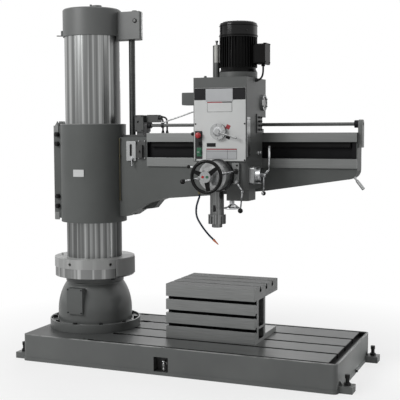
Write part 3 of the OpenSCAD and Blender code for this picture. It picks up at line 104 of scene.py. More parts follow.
def bakePlace():
    bpy.ops.object.transform_apply(location=True, rotation=True, scale=True)


def editAll(action="SELECT"):
    bpy.ops.object.mode_set(mode="EDIT")
    bpy.ops.mesh.select_all(action=action)


def leaveEdit():
    bpy.ops.object.mode_set(mode="OBJECT")


def newObject(name, data):
    piece = bpy.data.objects.new(name, data)
    bpy.context.scene.collection.objects.link(piece)
    return piece


def meshFrom(name, shape):
    soloSelect(newObject(name, shape))
    bpy.ops.object.convert(target="MESH")
    return bpy.context.object


def setMaterial(mesh, name):
    mesh.materials.clear()
    mesh.materials.append(materials[name])


def applyModifiers(piece):
    soloSelect(piece)
    for modifier in list(piece.modifiers):
        bpy.ops.object.modifier_apply(modifier=modifier.name)


def smoothByAngle(piece, degrees=edgeValues["smoothAngle"]):
    soloSelect(piece)
    bpy.ops.object.shade_smooth_by_angle(angle=radians(degrees))


def bevelEdges(piece, width):
    bevel = piece.modifiers.new("edges", "BEVEL")
    bevel.width = width
    bevel.segments = edgeValues["segments"]
    bevel.limit_method = "ANGLE"
    bevel.angle_limit = radians(edgeValues["bevelAngle"])
    applyModifiers(piece)


def finishFaces(piece, edge):
    if edge:
        bevelEdges(piece, edge)
    smoothByAngle(piece)
    weights = piece.modifiers.new("faces", "WEIGHTED_NORMAL")
    weights.keep_sharp = True
    applyModifiers(piece)


def settle(piece, name, material, body):
    soloSelect(piece)
    bakePlace()
    piece.name = name
    piece.data.name = name
    setMaterial(piece.data, material)
    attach(piece, body)
    return piece


def joinPieces(made, name, material, body):
    clearSelection()
    for piece in made:
        piece.parent = None
        piece.select_set(True)
    bpy.context.view_layer.objects.active = made[0]
    if len(made) > 1:
        bpy.ops.object.join()
    return settle(made[0], name, material, body)


def outward(piece):
    soloSelect(piece)
    editAll()
    bpy.ops.mesh.remove_doubles(threshold=edgeValues["weld"])
    bpy.ops.mesh.normals_make_consistent(inside=False)
    leaveEdit()


def addPlate(name, low, high, edge, material, body):
    centre = [(a + b) / 2 for a, b in zip(low, high)]
    size = [b - a for a, b in zip(low, high)]
    clearSelection()
    bpy.ops.mesh.primitive_cube_add(size=1, location=centre, scale=size)
    piece = bpy.context.object
    bakePlace()
    finishFaces(piece, edge)
    return settle(piece, name, material, body)


towards = {"X": Matrix.Rotation(radians(90), 4, "Y"), "Y": Matrix.Rotation(radians(-90), 4, "X"),
           "-Y": Matrix.Rotation(radians(90), 4, "X"), "Z": Matrix.Identity(4)}


# A turned piece: rings of (radius, height), modelled along Z and then laid along its axis
def addTurned(name, rings, place, axis, material, body, sides=48):
    clearSelection()
    bpy.ops.mesh.primitive_circle_add(vertices=sides, radius=rings[0][0], fill_type="NGON",
                                      location=(0, 0, rings[0][1]))
    piece = bpy.context.object
    bakePlace()
    editAll()
    for before, after in zip(rings, rings[1:]):
        bpy.ops.mesh.extrude_region_move(
            TRANSFORM_OT_translate={"value": (0, 0, after[1] - before[1])})
        share = after[0] / before[0]
        bpy.ops.transform.resize(value=(share, share, 1), center_override=(0, 0, after[1]))
    leaveEdit()
    outward(piece)
    finishFaces(piece, 0)
    piece.matrix_world = Matrix.Translation(place) @ towards[axis]
    return settle(piece, name, material, body)


# Screw heads: shares of the radius or height, and the angle that is shaded smooth
screwValues = {"chamfer": 0.12, "rim": 0.4, "socket": 0.55, "upward": 0.9, "smoothAngle": 40}


# One screw with a socket, copied to each spot
def addScrews(name, spots, axis, radius, height, body, material="boltBlack", sides=16):
    clearSelection()
    bpy.ops.mesh.primitive_cylinder_add(vertices=sides, radius=radius, depth=height,
                                        location=(0, 0, height / 2))
    first = bpy.context.object
    bakePlace()
    editAll("DESELECT")
    leaveEdit()
    for face in first.data.polygons:
        face.select = face.normal.z > screwValues["upward"]
    bpy.ops.object.mode_set(mode="EDIT")
    bpy.ops.mesh.select_mode(type="FACE")
    bpy.ops.mesh.inset(thickness=radius * screwValues["chamfer"])
    bpy.ops.transform.translate(value=(0, 0, height * screwValues["chamfer"]))
    bpy.ops.mesh.inset(thickness=radius * screwValues["rim"])
    socket = -height * screwValues["socket"]
    bpy.ops.mesh.extrude_region_move(TRANSFORM_OT_translate={"value": (0, 0, socket)})
    leaveEdit()
    smoothByAngle(first, screwValues["smoothAngle"])
    made = [first] + [newObject(name, first.data.copy()) for spot in spots[1:]]
    for piece, spot in zip(made, spots):
        piece.matrix_world = Matrix.Translation(spot) @ towards[axis]
    return joinPieces(made, name, material, body)


# A copy of a CAD node with welded faces and broken edges, shown in the node's place
def dressCopy(nodeName, pieceName, material, edge):
    node = nodeOf[nodeName]
    piece = newObject(pieceName, node.data.copy())
    soloSelect(piece)
    editAll()
    bpy.ops.mesh.remove_doubles(threshold=edgeValues["weld"])
    bpy.ops.mesh.dissolve_limited(angle_limit=radians(edgeValues["flat"]))
    bpy.ops.mesh.customdata_custom_splitnormals_clear()
    leaveEdit()
    finishFaces(piece, edge)
    settle(piece, pieceName, material, node["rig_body"])
    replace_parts(piece, nodeName)


def smoothRoute(points, steps):
    route = []
    last = len(points) - 1
    for i in range(last):
        a, b = Vector(points[max(i - 1, 0)]), Vector(points[i])
        c, d = Vector(points[i + 1]), Vector(points[min(i + 2, last)])
        for k in range(steps):
            t = k / steps
            route.append(0.5 * (2 * b + (c - a) * t + (2 * a - 5 * b + 4 * c - d) * t * t
                                + (3 * b - a - 3 * c + d) * t ** 3))
    route.append(Vector(points[last]))
    return route


tubeValues = {"resolution": 5, "smoothAngle": 60}


def addTube(name, points, radius, material, body=None, slotName=None):
    shape = bpy.data.curves.new(name, "CURVE")
    shape.dimensions = "3D"
    shape.bevel_depth = radius
    shape.bevel_resolution = tubeValues["resolution"]
    shape.use_fill_caps = True
    line = shape.splines.new("POLY")
    line.points.add(len(points) - 1)
    for spot, point in zip(line.points, points):
        spot.co = (*point, 1)
    tube = meshFrom(name, shape)
    outward(tube)
    smoothByAngle(tube, tubeValues["smoothAngle"])
    setMaterial(tube.data, material)
    return settle(tube, name, material, body) if body else tube


# Shader nodes: a value for a socket is a number, a colour, a vector or another node's output
def plug(socket, value):
    if isinstance(value, bpy.types.NodeSocket):
        socket.id_data.links.new(value, socket)
    elif socket.type == "RGBA" and len(value) == 3:
        socket.default_value = (*value, 1)
    else:
        socket.default_value = value


def makeNode(tree, kind, values, **settings):
    node = tree.nodes.new("ShaderNode" + kind)
    for label, setting in settings.items():
        setattr(node, label, setting)
    for label, value in values.items():
        plug(node.inputs[label], value)
    return node.outputs


def mathNode(tree, operation, *values):
    return makeNode(tree, "Math", dict(enumerate(values)), operation=operation)[0]


def vectorNode(tree, operation, *values):
    made = makeNode(tree, "VectorMath", dict(enumerate(values)), operation=operation)
    return made["Value" if operation == "LENGTH" else "Vector"]


def noiseNode(tree, vector, scale, detail):
    return makeNode(tree, "TexNoise", {"Vector": vector, "Scale": scale, "Detail": detail})["Fac"]


def rangeNode(tree, value, low, high, newLow=0.0, newHigh=1.0):
    return makeNode(tree, "MapRange", {"Value": value, "From Min": low, "From Max": high, "To Min": newLow,
                                       "To Max": newHigh})["Result"]


def between(tree, mask, first, second):
    return rangeNode(tree, mask, 0.0, 1.0, first, second)


def mixNode(tree, factor, first, second):
    return makeNode(tree, "Mix", {0: factor, 6: first, 7: second}, data_type="RGBA")[2]


def anyOf(tree, first, *others):
    for other in others:
        first = mathNode(tree, "MAXIMUM", first, other)
    return first


def product(tree, first, second):
    return mathNode(tree, "MULTIPLY", first, second)


def objectPoint(tree):
    return makeNode(tree, "TexCoord", {})["Object"]


def partsOf(tree, vector):
    return makeNode(tree, "SeparateXYZ", {0: vector})


# Shared shader groups by their names
groups = {}


def newGroup(name, inputs, outputs):
    tree = bpy.data.node_groups.new(name, "ShaderNodeTree")
    groups[name] = tree
    for label, value in inputs.items():
        kind = ("Color" if len(value) == 4 else "Vector") if isinstance(value, tuple) else "Float"
        made = tree.interface.new_socket(name=label, in_out="INPUT", socket_type="NodeSocket" + kind)
        made.default_value = value
    for label in outputs:
        kind = "Color" if label == "Colour" else "Float"
        tree.interface.new_socket(name=label, in_out="OUTPUT", socket_type="NodeSocket" + kind)
    return tree, tree.nodes.new("NodeGroupInput").outputs, tree.nodes.new("NodeGroupOutput").inputs


def variedRoughness(tree, given, pattern):
    spread = product(tree, mathNode(tree, "SUBTRACT", pattern, 0.5), given["Spread"])
    return mathNode(tree, "ADD", given["Roughness"], spread)


def weighted(tree, first, second, share):
    return mathNode(tree, "ADD", product(tree, first, share), product(tree, second, 1 - share))


skinOutputs = ("Colour", "Roughness", "Height")


# Cast iron under paint: cloudy colour, orange peel
def buildCastSkin():
    tree, given, out = newGroup("castSkin", {
        "Colour": (0.1, 0.1, 0.1, 1), "Shade": (0.08, 0.08, 0.08, 1), "Roughness": 0.4, "Spread": 0.1,
        "Patch Scale": 3.0, "Grain Scale": 160.0}, skinOutputs)
    point = objectPoint(tree)
    patch = noiseNode(tree, point, given["Patch Scale"], 5)
    cloud = rangeNode(tree, patch, 0.35, 0.65)
    plug(out["Colour"], mixNode(tree, cloud, given["Colour"], given["Shade"]))
    plug(out["Roughness"], variedRoughness(tree, given, patch))
    plug(out["Height"], noiseNode(tree, point, given["Grain Scale"], 2))


# Ground or brushed metal: fine lines along one direction
def buildGroundMetal():
    tree, given, out = newGroup("groundMetal", {
        "Colour": (0.4, 0.4, 0.4, 1), "Shade": (0.3, 0.3, 0.3, 1), "Stretch": (1, 40, 40), "Line Scale": 8.0,
        "Roughness": 0.35, "Spread": 0.15}, skinOutputs)
    point = objectPoint(tree)
    line = noiseNode(tree, vectorNode(tree, "MULTIPLY", point, given["Stretch"]), given["Line Scale"], 4)
    both = weighted(tree, line, noiseNode(tree, point, 2.2, 3), 0.65)
    plug(out["Colour"], mixNode(tree, rangeNode(tree, both, 0.36, 0.64), given["Colour"], given["Shade"]))
    plug(out["Roughness"], variedRoughness(tree, given, both))
    plug(out["Height"], line)


# Polished cylinder along Z: painted reflections as upright streaks round its axis, and a painted dark
# reflection on one side
def buildTubeWithPaintedReflections():
    tree, given, out = newGroup("tubeWithPaintedReflections", {
        "Colour": (0.5, 0.5, 0.5, 1), "Shade": (0.1, 0.1, 0.1, 1), "Dark": (0.03, 0.03, 0.03, 1),
        "Centre": (0, 0, 0), "Count": 3.0, "Dark From": -0.7, "Dark To": 0.05, "Roughness": 0.3}, skinOutputs)
    point = objectPoint(tree)
    offset = vectorNode(tree, "SUBTRACT", point, given["Centre"])
    around = vectorNode(tree, "NORMALIZE", vectorNode(tree, "MULTIPLY", offset, (1, 1, 0)))
    scaled = makeNode(tree, "VectorMath", {0: around, "Scale": given["Count"]}, operation="SCALE")[0]
    rise = vectorNode(tree, "MULTIPLY", offset, (0, 0, 0.12))
    # Painted reflections: upright bright and dark streaks that stand for the surroundings mirrored in the
    # steel
    paintedReflectionStreak = noiseNode(tree, vectorNode(tree, "ADD", scaled, rise), 2.0, 2.5)
    fine = noiseNode(tree, vectorNode(tree, "MULTIPLY", point, (180, 180, 1.5)), 1.0, 2)
    parts = partsOf(tree, offset)
    angle = mathNode(tree, "ARCTAN2", parts[1], parts[0])
    # Painted dark reflection: the side between Dark From and Dark To is darkened towards Dark
    start = rangeNode(tree, mathNode(tree, "SUBTRACT", angle, given["Dark From"]), 0.0, 0.3)
    end = rangeNode(tree, mathNode(tree, "SUBTRACT", given["Dark To"], angle), 0.0, 0.2)
    dark = product(tree, mathNode(tree, "MINIMUM", start, end), 0.85)
    both = weighted(tree, paintedReflectionStreak, fine, 0.85)
    # The painted reflection streaks, between Shade and Colour
    lit = mixNode(tree, rangeNode(tree, both, 0.46, 0.62), given["Shade"], given["Colour"])
    plug(out["Colour"], mixNode(tree, dark, lit, given["Dark"]))
    plug(out["Roughness"], given["Roughness"])
    plug(out["Height"], fine)


# 1 inside a box of the object's own coordinates
def buildZoneMask():
    tree, given, out = newGroup("zoneMask", {"Low": (0, 0, 0), "High": (1, 1, 1)}, ["Mask"])
    point = objectPoint(tree)
    below = vectorNode(tree, "SUBTRACT", point, given["Low"])
    above = vectorNode(tree, "SUBTRACT", given["High"], point)
    parts = partsOf(tree, vectorNode(tree, "MINIMUM", below, above))
    least = mathNode(tree, "MINIMUM", mathNode(tree, "MINIMUM", parts[0], parts[1]), parts[2])
    plug(out["Mask"], mathNode(tree, "GREATER_THAN", least, 0.0))


# Distance from an axis: Flatten is 0 along it and 1 across it
def buildAxisDistance():
    tree, given, out = newGroup("axisDistance", {"Centre": (0, 0, 0), "Flatten": (1, 0, 1)}, ["Distance"])
    offset = vectorNode(tree, "SUBTRACT", objectPoint(tree), given["Centre"])
    flat = vectorNode(tree, "MULTIPLY", offset, given["Flatten"])
    plug(out["Distance"], vectorNode(tree, "LENGTH", flat))


# Marks round an axis along Y
def buildTickMarks():
    tree, given, out = newGroup("tickMarks", {"Centre": (0, 0, 0), "Count": 100.0, "Width": 0.12}, ["Mask"])
    parts = partsOf(tree, vectorNode(tree, "SUBTRACT", objectPoint(tree), given["Centre"]))
    angle = mathNode(tree, "ARCTAN2", parts[2], parts[0])
    turns = product(tree, mathNode(tree, "DIVIDE", angle, 2 * pi), given["Count"])
    share = mathNode(tree, "FRACT", mathNode(tree, "ADD", turns, 1000.0))
    plug(out["Mask"], mathNode(tree, "LESS_THAN", share, given["Width"]))


for build in (buildCastSkin, buildGroundMetal, buildTubeWithPaintedReflections, buildZoneMask, buildAxisDistance,
              buildTickMarks):
    build()
print("shader groups built")


# The values stand in the order of the group's inputs
def useGroup(tree, name, *values):
    return makeNode(tree, "Group", dict(enumerate(values)), node_tree=groups[name])


def zoneMask(tree, low, high):
    return useGroup(tree, "zoneMask", low, high)[0]


def startMaterial(name, metallic=0.0, coat=0.0, specular=0.5):
    material = bpy.data.materials.new(name)
    material.use_nodes = True
    materials[name] = material
    shader = material.node_tree.nodes["Principled BSDF"].inputs
    for label, value in (("Metallic", metallic), ("Specular IOR Level", specular), ("Coat Weight", coat),
                         ("Coat Roughness", 0.25)):
        shader[label].default_value = value
    return material.node_tree, shader


def addBump(tree, shader, height, strength, distance):
    bump = makeNode(tree, "Bump", {"Strength": strength, "Distance": distance, "Height": height})
    plug(shader["Normal"], bump["Normal"])


def skinMaterial(name, kind, metallic, usualBump, skin, specular=0.5, coat=0.0, bump=None):
    tree, shader = startMaterial(name, metallic, coat, specular)
    found = useGroup(tree, kind, *skin)
    plug(shader["Base Color"], found["Colour"])
    plug(shader["Roughness"], found["Roughness"])
    addBump(tree, shader, found["Height"], *(bump or usualBump))


# A material that turns into a second finish where one of its masks is 1
def twoFinish(name, first, second, masks, metallic=(0.0, 0.0), specular=(0.5, 0.5)):
    tree, shader = startMaterial(name)
    one = useGroup(tree, *first)
    two = useGroup(tree, *second)
    found = []
    for kind, values, limit in masks:
        mask = useGroup(tree, kind, *values)[0]
        found.append(mathNode(tree, "LESS_THAN", mask, limit) if limit else mask)
    mask = anyOf(tree, *found)
    plug(shader["Base Color"], mixNode(tree, mask, one["Colour"], two["Colour"]))
    plug(shader["Roughness"], between(tree, mask, one["Roughness"], two["Roughness"]))
    plug(shader["Metallic"], between(tree, mask, *metallic))
    plug(shader["Specular IOR Level"], between(tree, mask, *specular))
    addBump(tree, shader, between(tree, mask, one["Height"], two["Height"]), 0.12, 0.0005)


# Finishes that are shared: a group and its inputs
finishes = {
    "paint": ("castSkin", (0.098, 0.103, 0.1), (0.082, 0.086, 0.084), 0.42, 0.2, 2.6, 150),
    "blackBand": ("castSkin", (0.008, 0.008, 0.009), (0.014, 0.014, 0.015), 0.55, 0.1, 5, 220),
    "gloss": ("castSkin", (0.005, 0.005, 0.005), (0.008, 0.008, 0.008), 0.2, 0.1, 6, 260),
    "semiGloss": ("castSkin", (0.005, 0.005, 0.005), (0.008, 0.008, 0.008), 0.3, 0.1, 6, 260),
    # bright: chrome whose dark patches are painted reflections
    "bright": ("castSkin", (0.68, 0.69, 0.7), (0.12, 0.122, 0.125), 0.16, 0.1, 34, 90),
    "plate": ("castSkin", (0.5, 0.5, 0.47), (0.42, 0.42, 0.4), 0.45, 0.1, 12, 260),
    "ground": ("groundMetal", (0.125, 0.13, 0.128), (0.09, 0.094, 0.092), (1, 45, 45), 6, 0.38, 0.2),
    "satin": ("groundMetal", (0.42, 0.43, 0.43), (0.3, 0.305, 0.305), (20, 20, 20), 6, 0.32, 0.15),
}


# One of the finishes, in other colours if they are given
def finish(name, colour=None, shade=None):
    kind, usualColour, usualShade, *rest = finishes[name]
    return kind, colour or usualColour, shade or usualShade, *rest


def zone(low, high):
    return "zoneMask", (low, high), None


def ball(centre, radius, flatten=(1, 1, 1)):
    return "axisDistance", (centre, flatten), radius


# Paints, plastics and rubber: colour, shade, roughness, spread, patch and grain; specular, coat and bump
paints = {
    "castPaint": (((0.121, 0.126, 0.123), (0.102, 0.106, 0.104), 0.42, 0.2, 2.6, 150), 0.22),
    "footPaint": (((0.118, 0.124, 0.121), (0.1, 0.104, 0.102), 0.32, 0.15, 3, 150), 0.3, 0.12),
    "capPaint": (((0.125, 0.13, 0.128), (0.11, 0.114, 0.112), 0.42, 0.2, 3, 150),),
    "darkPaint": (((0.055, 0.057, 0.056), (0.045, 0.047, 0.046), 0.4, 0.15, 5, 180),),
    "motorPaint": (((0.004, 0.004, 0.004), (0.006, 0.006, 0.006), 0.32, 0.12, 8, 200), 0.07),
    "fanPaint": (((0.004, 0.004, 0.004), (0.006, 0.006, 0.006), 0.16, 0.1, 8, 200), 0.22),
    "blackPlastic": (((0.01, 0.01, 0.011), (0.016, 0.016, 0.017), 0.4, 0.12, 14, 420), 0.3),
    "redPlastic": (((0.45, 0.01, 0.014), (0.36, 0.008, 0.012), 0.25, 0.08, 12, 400), 0.5, 0.3),
    "greenPlastic": (((0.008, 0.14, 0.06), (0.006, 0.11, 0.045), 0.28, 0.08, 12, 400), 0.5, 0.3),
    "hosePlastic": (((0.004, 0.011, 0.028), (0.005, 0.014, 0.036), 0.38, 0.1, 20, 400), 0.08),
    "cableRubber": (((0.008, 0.008, 0.009), (0.013, 0.013, 0.013), 0.55, 0.1, 20, 500), 0.25),
    "panelWhite": (((0.62, 0.63, 0.625), (0.57, 0.58, 0.575), 0.38, 0.1, 4, 260), 0.5, 0.1, (0.05, 0.0003)),
    "plateGrey": (((0.47, 0.48, 0.49), (0.42, 0.43, 0.44), 0.35, 0.1, 6, 300), 0.5, 0.1, (0.04, 0.0002)),
    "plateRed": (((0.36, 0.015, 0.022), (0.29, 0.012, 0.018), 0.4, 0.1, 9, 300), 0.5, 0.1, (0.04, 0.0002)),
    "plateBlack": (((0.009, 0.009, 0.01), (0.014, 0.014, 0.015), 0.45, 0.1, 9, 300), 0.15),
    "blockGrey": (((0.25, 0.256, 0.252), (0.22, 0.225, 0.222), 0.4, 0.15, 8, 220), 0.25),
    # The rack's near-black is partly oil and partly painted shade of the recess it sits in
    "oiledRackInPaintedShade": (((0.009, 0.009, 0.009), (0.006, 0.006, 0.006), 0.6, 0.12, 12, 300), 0.12),
    "glassDark": (((0.05, 0.052, 0.052), (0.03, 0.031, 0.031), 0.12, 0.05, 8, 60), 0.5, 0.4),
}

# Metals: colour, shade, stretch and scale of their lines, roughness and spread
metals = {
    "wayIron": (((0.21, 0.216, 0.212), (0.165, 0.17, 0.167), (1, 60, 60), 6, 0.38, 0.18),),
    "satinSteel": (((0.42, 0.43, 0.43), (0.3, 0.305, 0.305), (20, 20, 20), 6, 0.32, 0.15),),
    "dullSteel": (((0.24, 0.245, 0.242), (0.17, 0.174, 0.172), (30, 30, 2), 6, 0.4, 0.15),),
    "brightSteel": (((0.62, 0.63, 0.64), (0.3, 0.305, 0.31), (9, 9, 9), 3, 0.18, 0.1),),
    "gearSteel": (((0.3, 0.3, 0.3), (0.2, 0.2, 0.2), (30, 30, 30), 8, 0.38, 0.15),),
    "screwSteel": (((0.075, 0.077, 0.076), (0.03, 0.031, 0.03), (3, 3, 220), 2.2, 0.4, 0.14), 0.5, 0.0,
                   (0.5, 0.0012)),
    "boltBlack": (((0.035, 0.035, 0.036), (0.02, 0.02, 0.02), (20, 20, 20), 9, 0.42, 0.15),),
    "bronze": (((0.5, 0.36, 0.16), (0.38, 0.27, 0.12), (20, 20, 20), 8, 0.35, 0.15),),
    "oilBrass": (((0.14, 0.125, 0.08), (0.09, 0.08, 0.05), (20, 20, 20), 8, 0.45, 0.15),),
}

# Polished tubes with painted reflections: colour, shade, dark, axis, number of painted reflection streaks,
# start and end of the painted dark side, roughness
tubes = {
    "columnSteel": (((0.45, 0.457, 0.453), (0.17, 0.174, 0.172), (0.03, 0.031, 0.031), (0, 0, 0), 4.5, -0.42,
                     0.5, 0.3),),
    "ringSteel": (((0.56, 0.565, 0.56), (0.26, 0.264, 0.262), (0.02, 0.021, 0.021), (0, 0, 0), 4.0, -0.75,
                   -0.1, 0.34),),
    "quillSteel": (((0.4, 0.405, 0.402), (0.14, 0.143, 0.141), (0.03, 0.031, 0.031), (1.03, -0.225, 0), 2.4,
                    -0.55, 0.3, 0.34),),
}

# Each table with its group, metallic value and usual bump
for table, *usual in ((paints, "castSkin", 0.0, (0.12, 0.0006)), (metals, "groundMetal", 1.0, (0.08, 0.0003)),
                      (tubes, "tubeWithPaintedReflections", 1.0, (0.05, 0.0002))):
    for name, values in table.items():
        skinMaterial(name, *usual, *values)
# The swivel collar: machined grey with faint painted reflection streaks and a painted dark reflection on one
# side
skinMaterial("collarGrey", "tubeWithPaintedReflections", 0.15, (0.05, 0.0002), (
    (0.42, 0.425, 0.42), (0.33, 0.335, 0.33), (0.15, 0.152, 0.15), (0, 0, 0), 2.0, -0.75, 0.7, 0.5))


# The base: a lighter copy of the paint as painted light, a ground top, painted shade over the top that is
# heaviest at the left, painted shade in the slots and pocket, and a painted highlight along the upper front
# and end edges
def baseMaterial():
    tree, shader = startMaterial("basePaint", 0.0, 0.15)
    # Lighter copy of the paint: painted light, standing in for more light falling on the base near the floor
    paint = useGroup(tree, *finish("paint", (0.135, 0.141, 0.138), (0.112, 0.117, 0.115)))
    ground = useGroup(tree, *finish("ground"))
    top = zoneMask(tree, (0.3, -0.43, 0.1812), (1.83, 0.43, 0.19))
    upper = zoneMask(tree, (-0.33, -0.47, 0.1812), (1.9, 0.47, 0.19))
    slots = zoneMask(tree, (0.17, -0.457, 0.1), (1.874, 0.457, 0.1796))
    pocket = zoneMask(tree, (0.6805, -0.4595, 0.0215), (0.7835, -0.36, 0.1185))
    front = zoneMask(tree, (-0.31, -0.47, 0.1775), (1.89, -0.4562, 0.184))
    end = zoneMask(tree, (1.8795, -0.47, 0.1775), (1.9, 0.47, 0.184))
    point = objectPoint(tree)
    along = partsOf(tree, point)[0]
    share = product(tree, top, rangeNode(tree, along, 0.35, 1.0, 0.15, 1.0))
    # Painted shade over the whole top, heaviest at the left end near the pillar and fading to the right
    paintedTopShade = product(tree, upper, rangeNode(tree, along, 0.3, 1.0, 0.42, 0.08))
    # Painted highlight along the upper front and end edges, broken up by noise
    edgeHighlightBreakup = rangeNode(tree, noiseNode(tree, point, 9.0, 3), 0.35, 0.55)
    paintedEdgeHighlight = product(tree, anyOf(tree, front, end), edgeHighlightBreakup)
    colour = mixNode(tree, share, paint["Colour"], ground["Colour"])
    # Painted shade on the top, in the slots and in the pocket, then the painted edge highlight
    for mask, paintedLightColour in ((paintedTopShade, (0.01, 0.01, 0.01)), (slots, (0.012, 0.012, 0.012)),
                        (pocket, (0.035, 0.036, 0.035)), (paintedEdgeHighlight, (0.3, 0.305, 0.3))):
        colour = mixNode(tree, mask, colour, paintedLightColour)
    dull = anyOf(tree, slots, product(tree, upper, 0.88))
    plug(shader["Base Color"], colour)
    plug(shader["Metallic"], product(tree, share, 0.25))
    plug(shader["Specular IOR Level"], between(tree, dull, 0.4, 0.05))
    plug(shader["Roughness"], between(tree, share, paint["Roughness"], ground["Roughness"]))
    addBump(tree, shader, between(tree, share, paint["Height"], ground["Height"]), 0.12, 0.0005)


# The box table: ground sides, a top darkened as painted shade, and painted shade in the cells and slots
def tableMaterial():
    tree, shader = startMaterial("ironTable", 0.6, 0.0, 0.3)
    side = useGroup(tree, *finish("ground", (0.28, 0.286, 0.282), (0.2, 0.205, 0.202)))
    # The top's much darker copy of the ground finish is painted shade
    top = useGroup(tree, *finish("ground", (0.068, 0.071, 0.07), (0.047, 0.049, 0.048)))
    upper = zoneMask(tree, (0.64, -0.21, 0.5495), (1.29, 0.3, 0.56))
    cells = zoneMask(tree, (0.652, -0.1965, 0.19), (1.2785, -0.0145, 0.465))
    slots = zoneMask(tree, (0.652, -0.1965, 0.475), (1.2785, 0.2885, 0.547))
    # Painted shade inside the cells and slots
    inner = anyOf(tree, cells, slots)
    plain = anyOf(tree, upper, inner)
    colour = mixNode(tree, upper, side["Colour"], top["Colour"])
    plug(shader["Base Color"], mixNode(tree, inner, colour, (0.012, 0.012, 0.012)))
    plug(shader["Metallic"], between(tree, plain, 0.6, 0.03))
    plug(shader["Specular IOR Level"], between(tree, plain, 0.35, 0.03))
    plug(shader["Roughness"], side["Roughness"])
    addBump(tree, shader, side["Height"], 0.1, 0.0004)


# The feed shaft's x and z
feedAxis = (1.0963, 1.291)


# The feed drum: polished, two scales at its front rim and a black ring at its back
def drumMaterial():
    tree, shader = startMaterial("drumScale", 1.0)
    skin = useGroup(tree, "groundMetal", (0.6, 0.605, 0.605), (0.34, 0.345, 0.345), (6, 2, 6), 4.0, 0.3, 0.12)
    centre = (feedAxis[0], -0.4, feedAxis[1])
    marks = []
    for count, width, back in ((100.0, 0.16, -0.466), (20.0, 0.05, -0.458)):
        lines = useGroup(tree, "tickMarks", centre, count, width)[0]
        marks.append(product(tree, lines, zoneMask(tree, (0.9, -0.4785, 1.1), (1.3, back, 1.5))))
    reach = useGroup(tree, "axisDistance", centre, (1, 0, 1))[0]
    ticks = product(tree, anyOf(tree, *marks), mathNode(tree, "GREATER_THAN", reach, 0.0914))
    dark = anyOf(tree, ticks, zoneMask(tree, (0.9, -0.4005, 1.1), (1.3, -0.377, 1.5)))
    plug(shader["Base Color"], mixNode(tree, dark, skin["Colour"], (0.012, 0.012, 0.013)))
    plug(shader["Metallic"], between(tree, dark, 1.0, 0.0))
    plug(shader["Roughness"], skin["Roughness"])
    addBump(tree, shader, mathNode(tree, "SUBTRACT", skin["Height"], ticks), 0.2, 0.0004)


# Steel with black knobs
def knobFinish(name, steel, masks):
    twoFinish(name, finish(steel), finish("gloss"), masks, (1.0, 0.0), (0.5, 0.2))


baseMaterial()
tableMaterial()
drumMaterial()
leverValues = {"reach": 0.178, "y": -0.533, "knob": 0.0185, "turns": (11, 191)}
leverEnds = [(feedAxis[0] + leverValues["reach"] * cos(radians(turn)), leverValues["y"],
              feedAxis[1] + leverValues["reach"] * sin(radians(turn)))
             for turn in leverValues["turns"]]
railEnds = [zone((low, -0.04, 1.58), (high, 0.04, 1.64)) for low, high in ((0.439, 0.461), (1.875, 1.899))]
knobFinish("leverFinish", "bright", [ball(centre, leverValues["knob"]) for centre in leverEnds])
knobFinish("clutchFinish", "bright", [ball((1.2493, -0.391, 1.074), 0.019)])
knobFinish("directionFinish", "bright", [zone((1.36, -0.3, 1.15), (1.42, -0.22, 1.203))])
knobFinish("sideFinish", "satin", [ball((0.875, -0.33, 1.341), 0.0145), ball((0.905, -0.33, 1.551), 0.0145)])
# The band between the guideways is black: partly its black paint, partly painted shade of the recess; the
# black carried over the end post's front face is painted shade
twoFinish("armPaint", finish("paint", (0.114, 0.12, 0.117), (0.096, 0.101, 0.098)),
          finish("blackBand"), [zone((0.445, -0.0452, 1.3905), (1.8965, 0.0, 1.4965))], specular=(0.22, 0.08))
twoFinish("wheelFinish", finish("gloss"), finish("satin"),
          [ball((feedAxis[0], -0.575, feedAxis[1]), 0.0352, (1, 0, 1))], (0.0, 1.0), (0.16, 0.5))
twoFinish("nozzleFinish", finish("gloss", (0.62, 0.17, 0.06), (0.52, 0.13, 0.045)),
          finish("satin", (0.2, 0.17, 0.1), (0.14, 0.12, 0.07)),
          [zone((0.9, -0.4, 1.14), (1.0, -0.2, 1.3))], (0.0, 1.0))
twoFinish("guardFinish", finish("paint"), finish("plate"),
          [zone((1.0126, -0.245, 2.004), (1.05, -0.2, 2.1172))])
twoFinish("motorFinish", finish("semiGloss"), finish("paint"),
          [zone((0.9, -0.5, 1.9), (1.4, 0.1, 1.9384))], specular=(0.07, 0.5))
twoFinish("stopFinish", finish("satin"),
          finish("paint", (0.035, 0.036, 0.034), (0.025, 0.026, 0.025)),
          [zone((0.3, -0.0572, 1.37), (0.345, -0.044, 1.5)),
           zone((0.3635, -0.09, 1.37), (0.42, -0.04, 1.49))], (1.0, 0.0))
twoFinish("railFinish", finish("paint"), finish("blackBand"), railEnds, specular=(0.5, 0.15))
twoFinish("bracketFinish", finish("paint", (0.16, 0.165, 0.162), (0.12, 0.124, 0.122)),
          finish("blackBand"), [zone((0.4, -0.08, 1.5), (0.445, 0.06, 1.66))])
print("materials built")

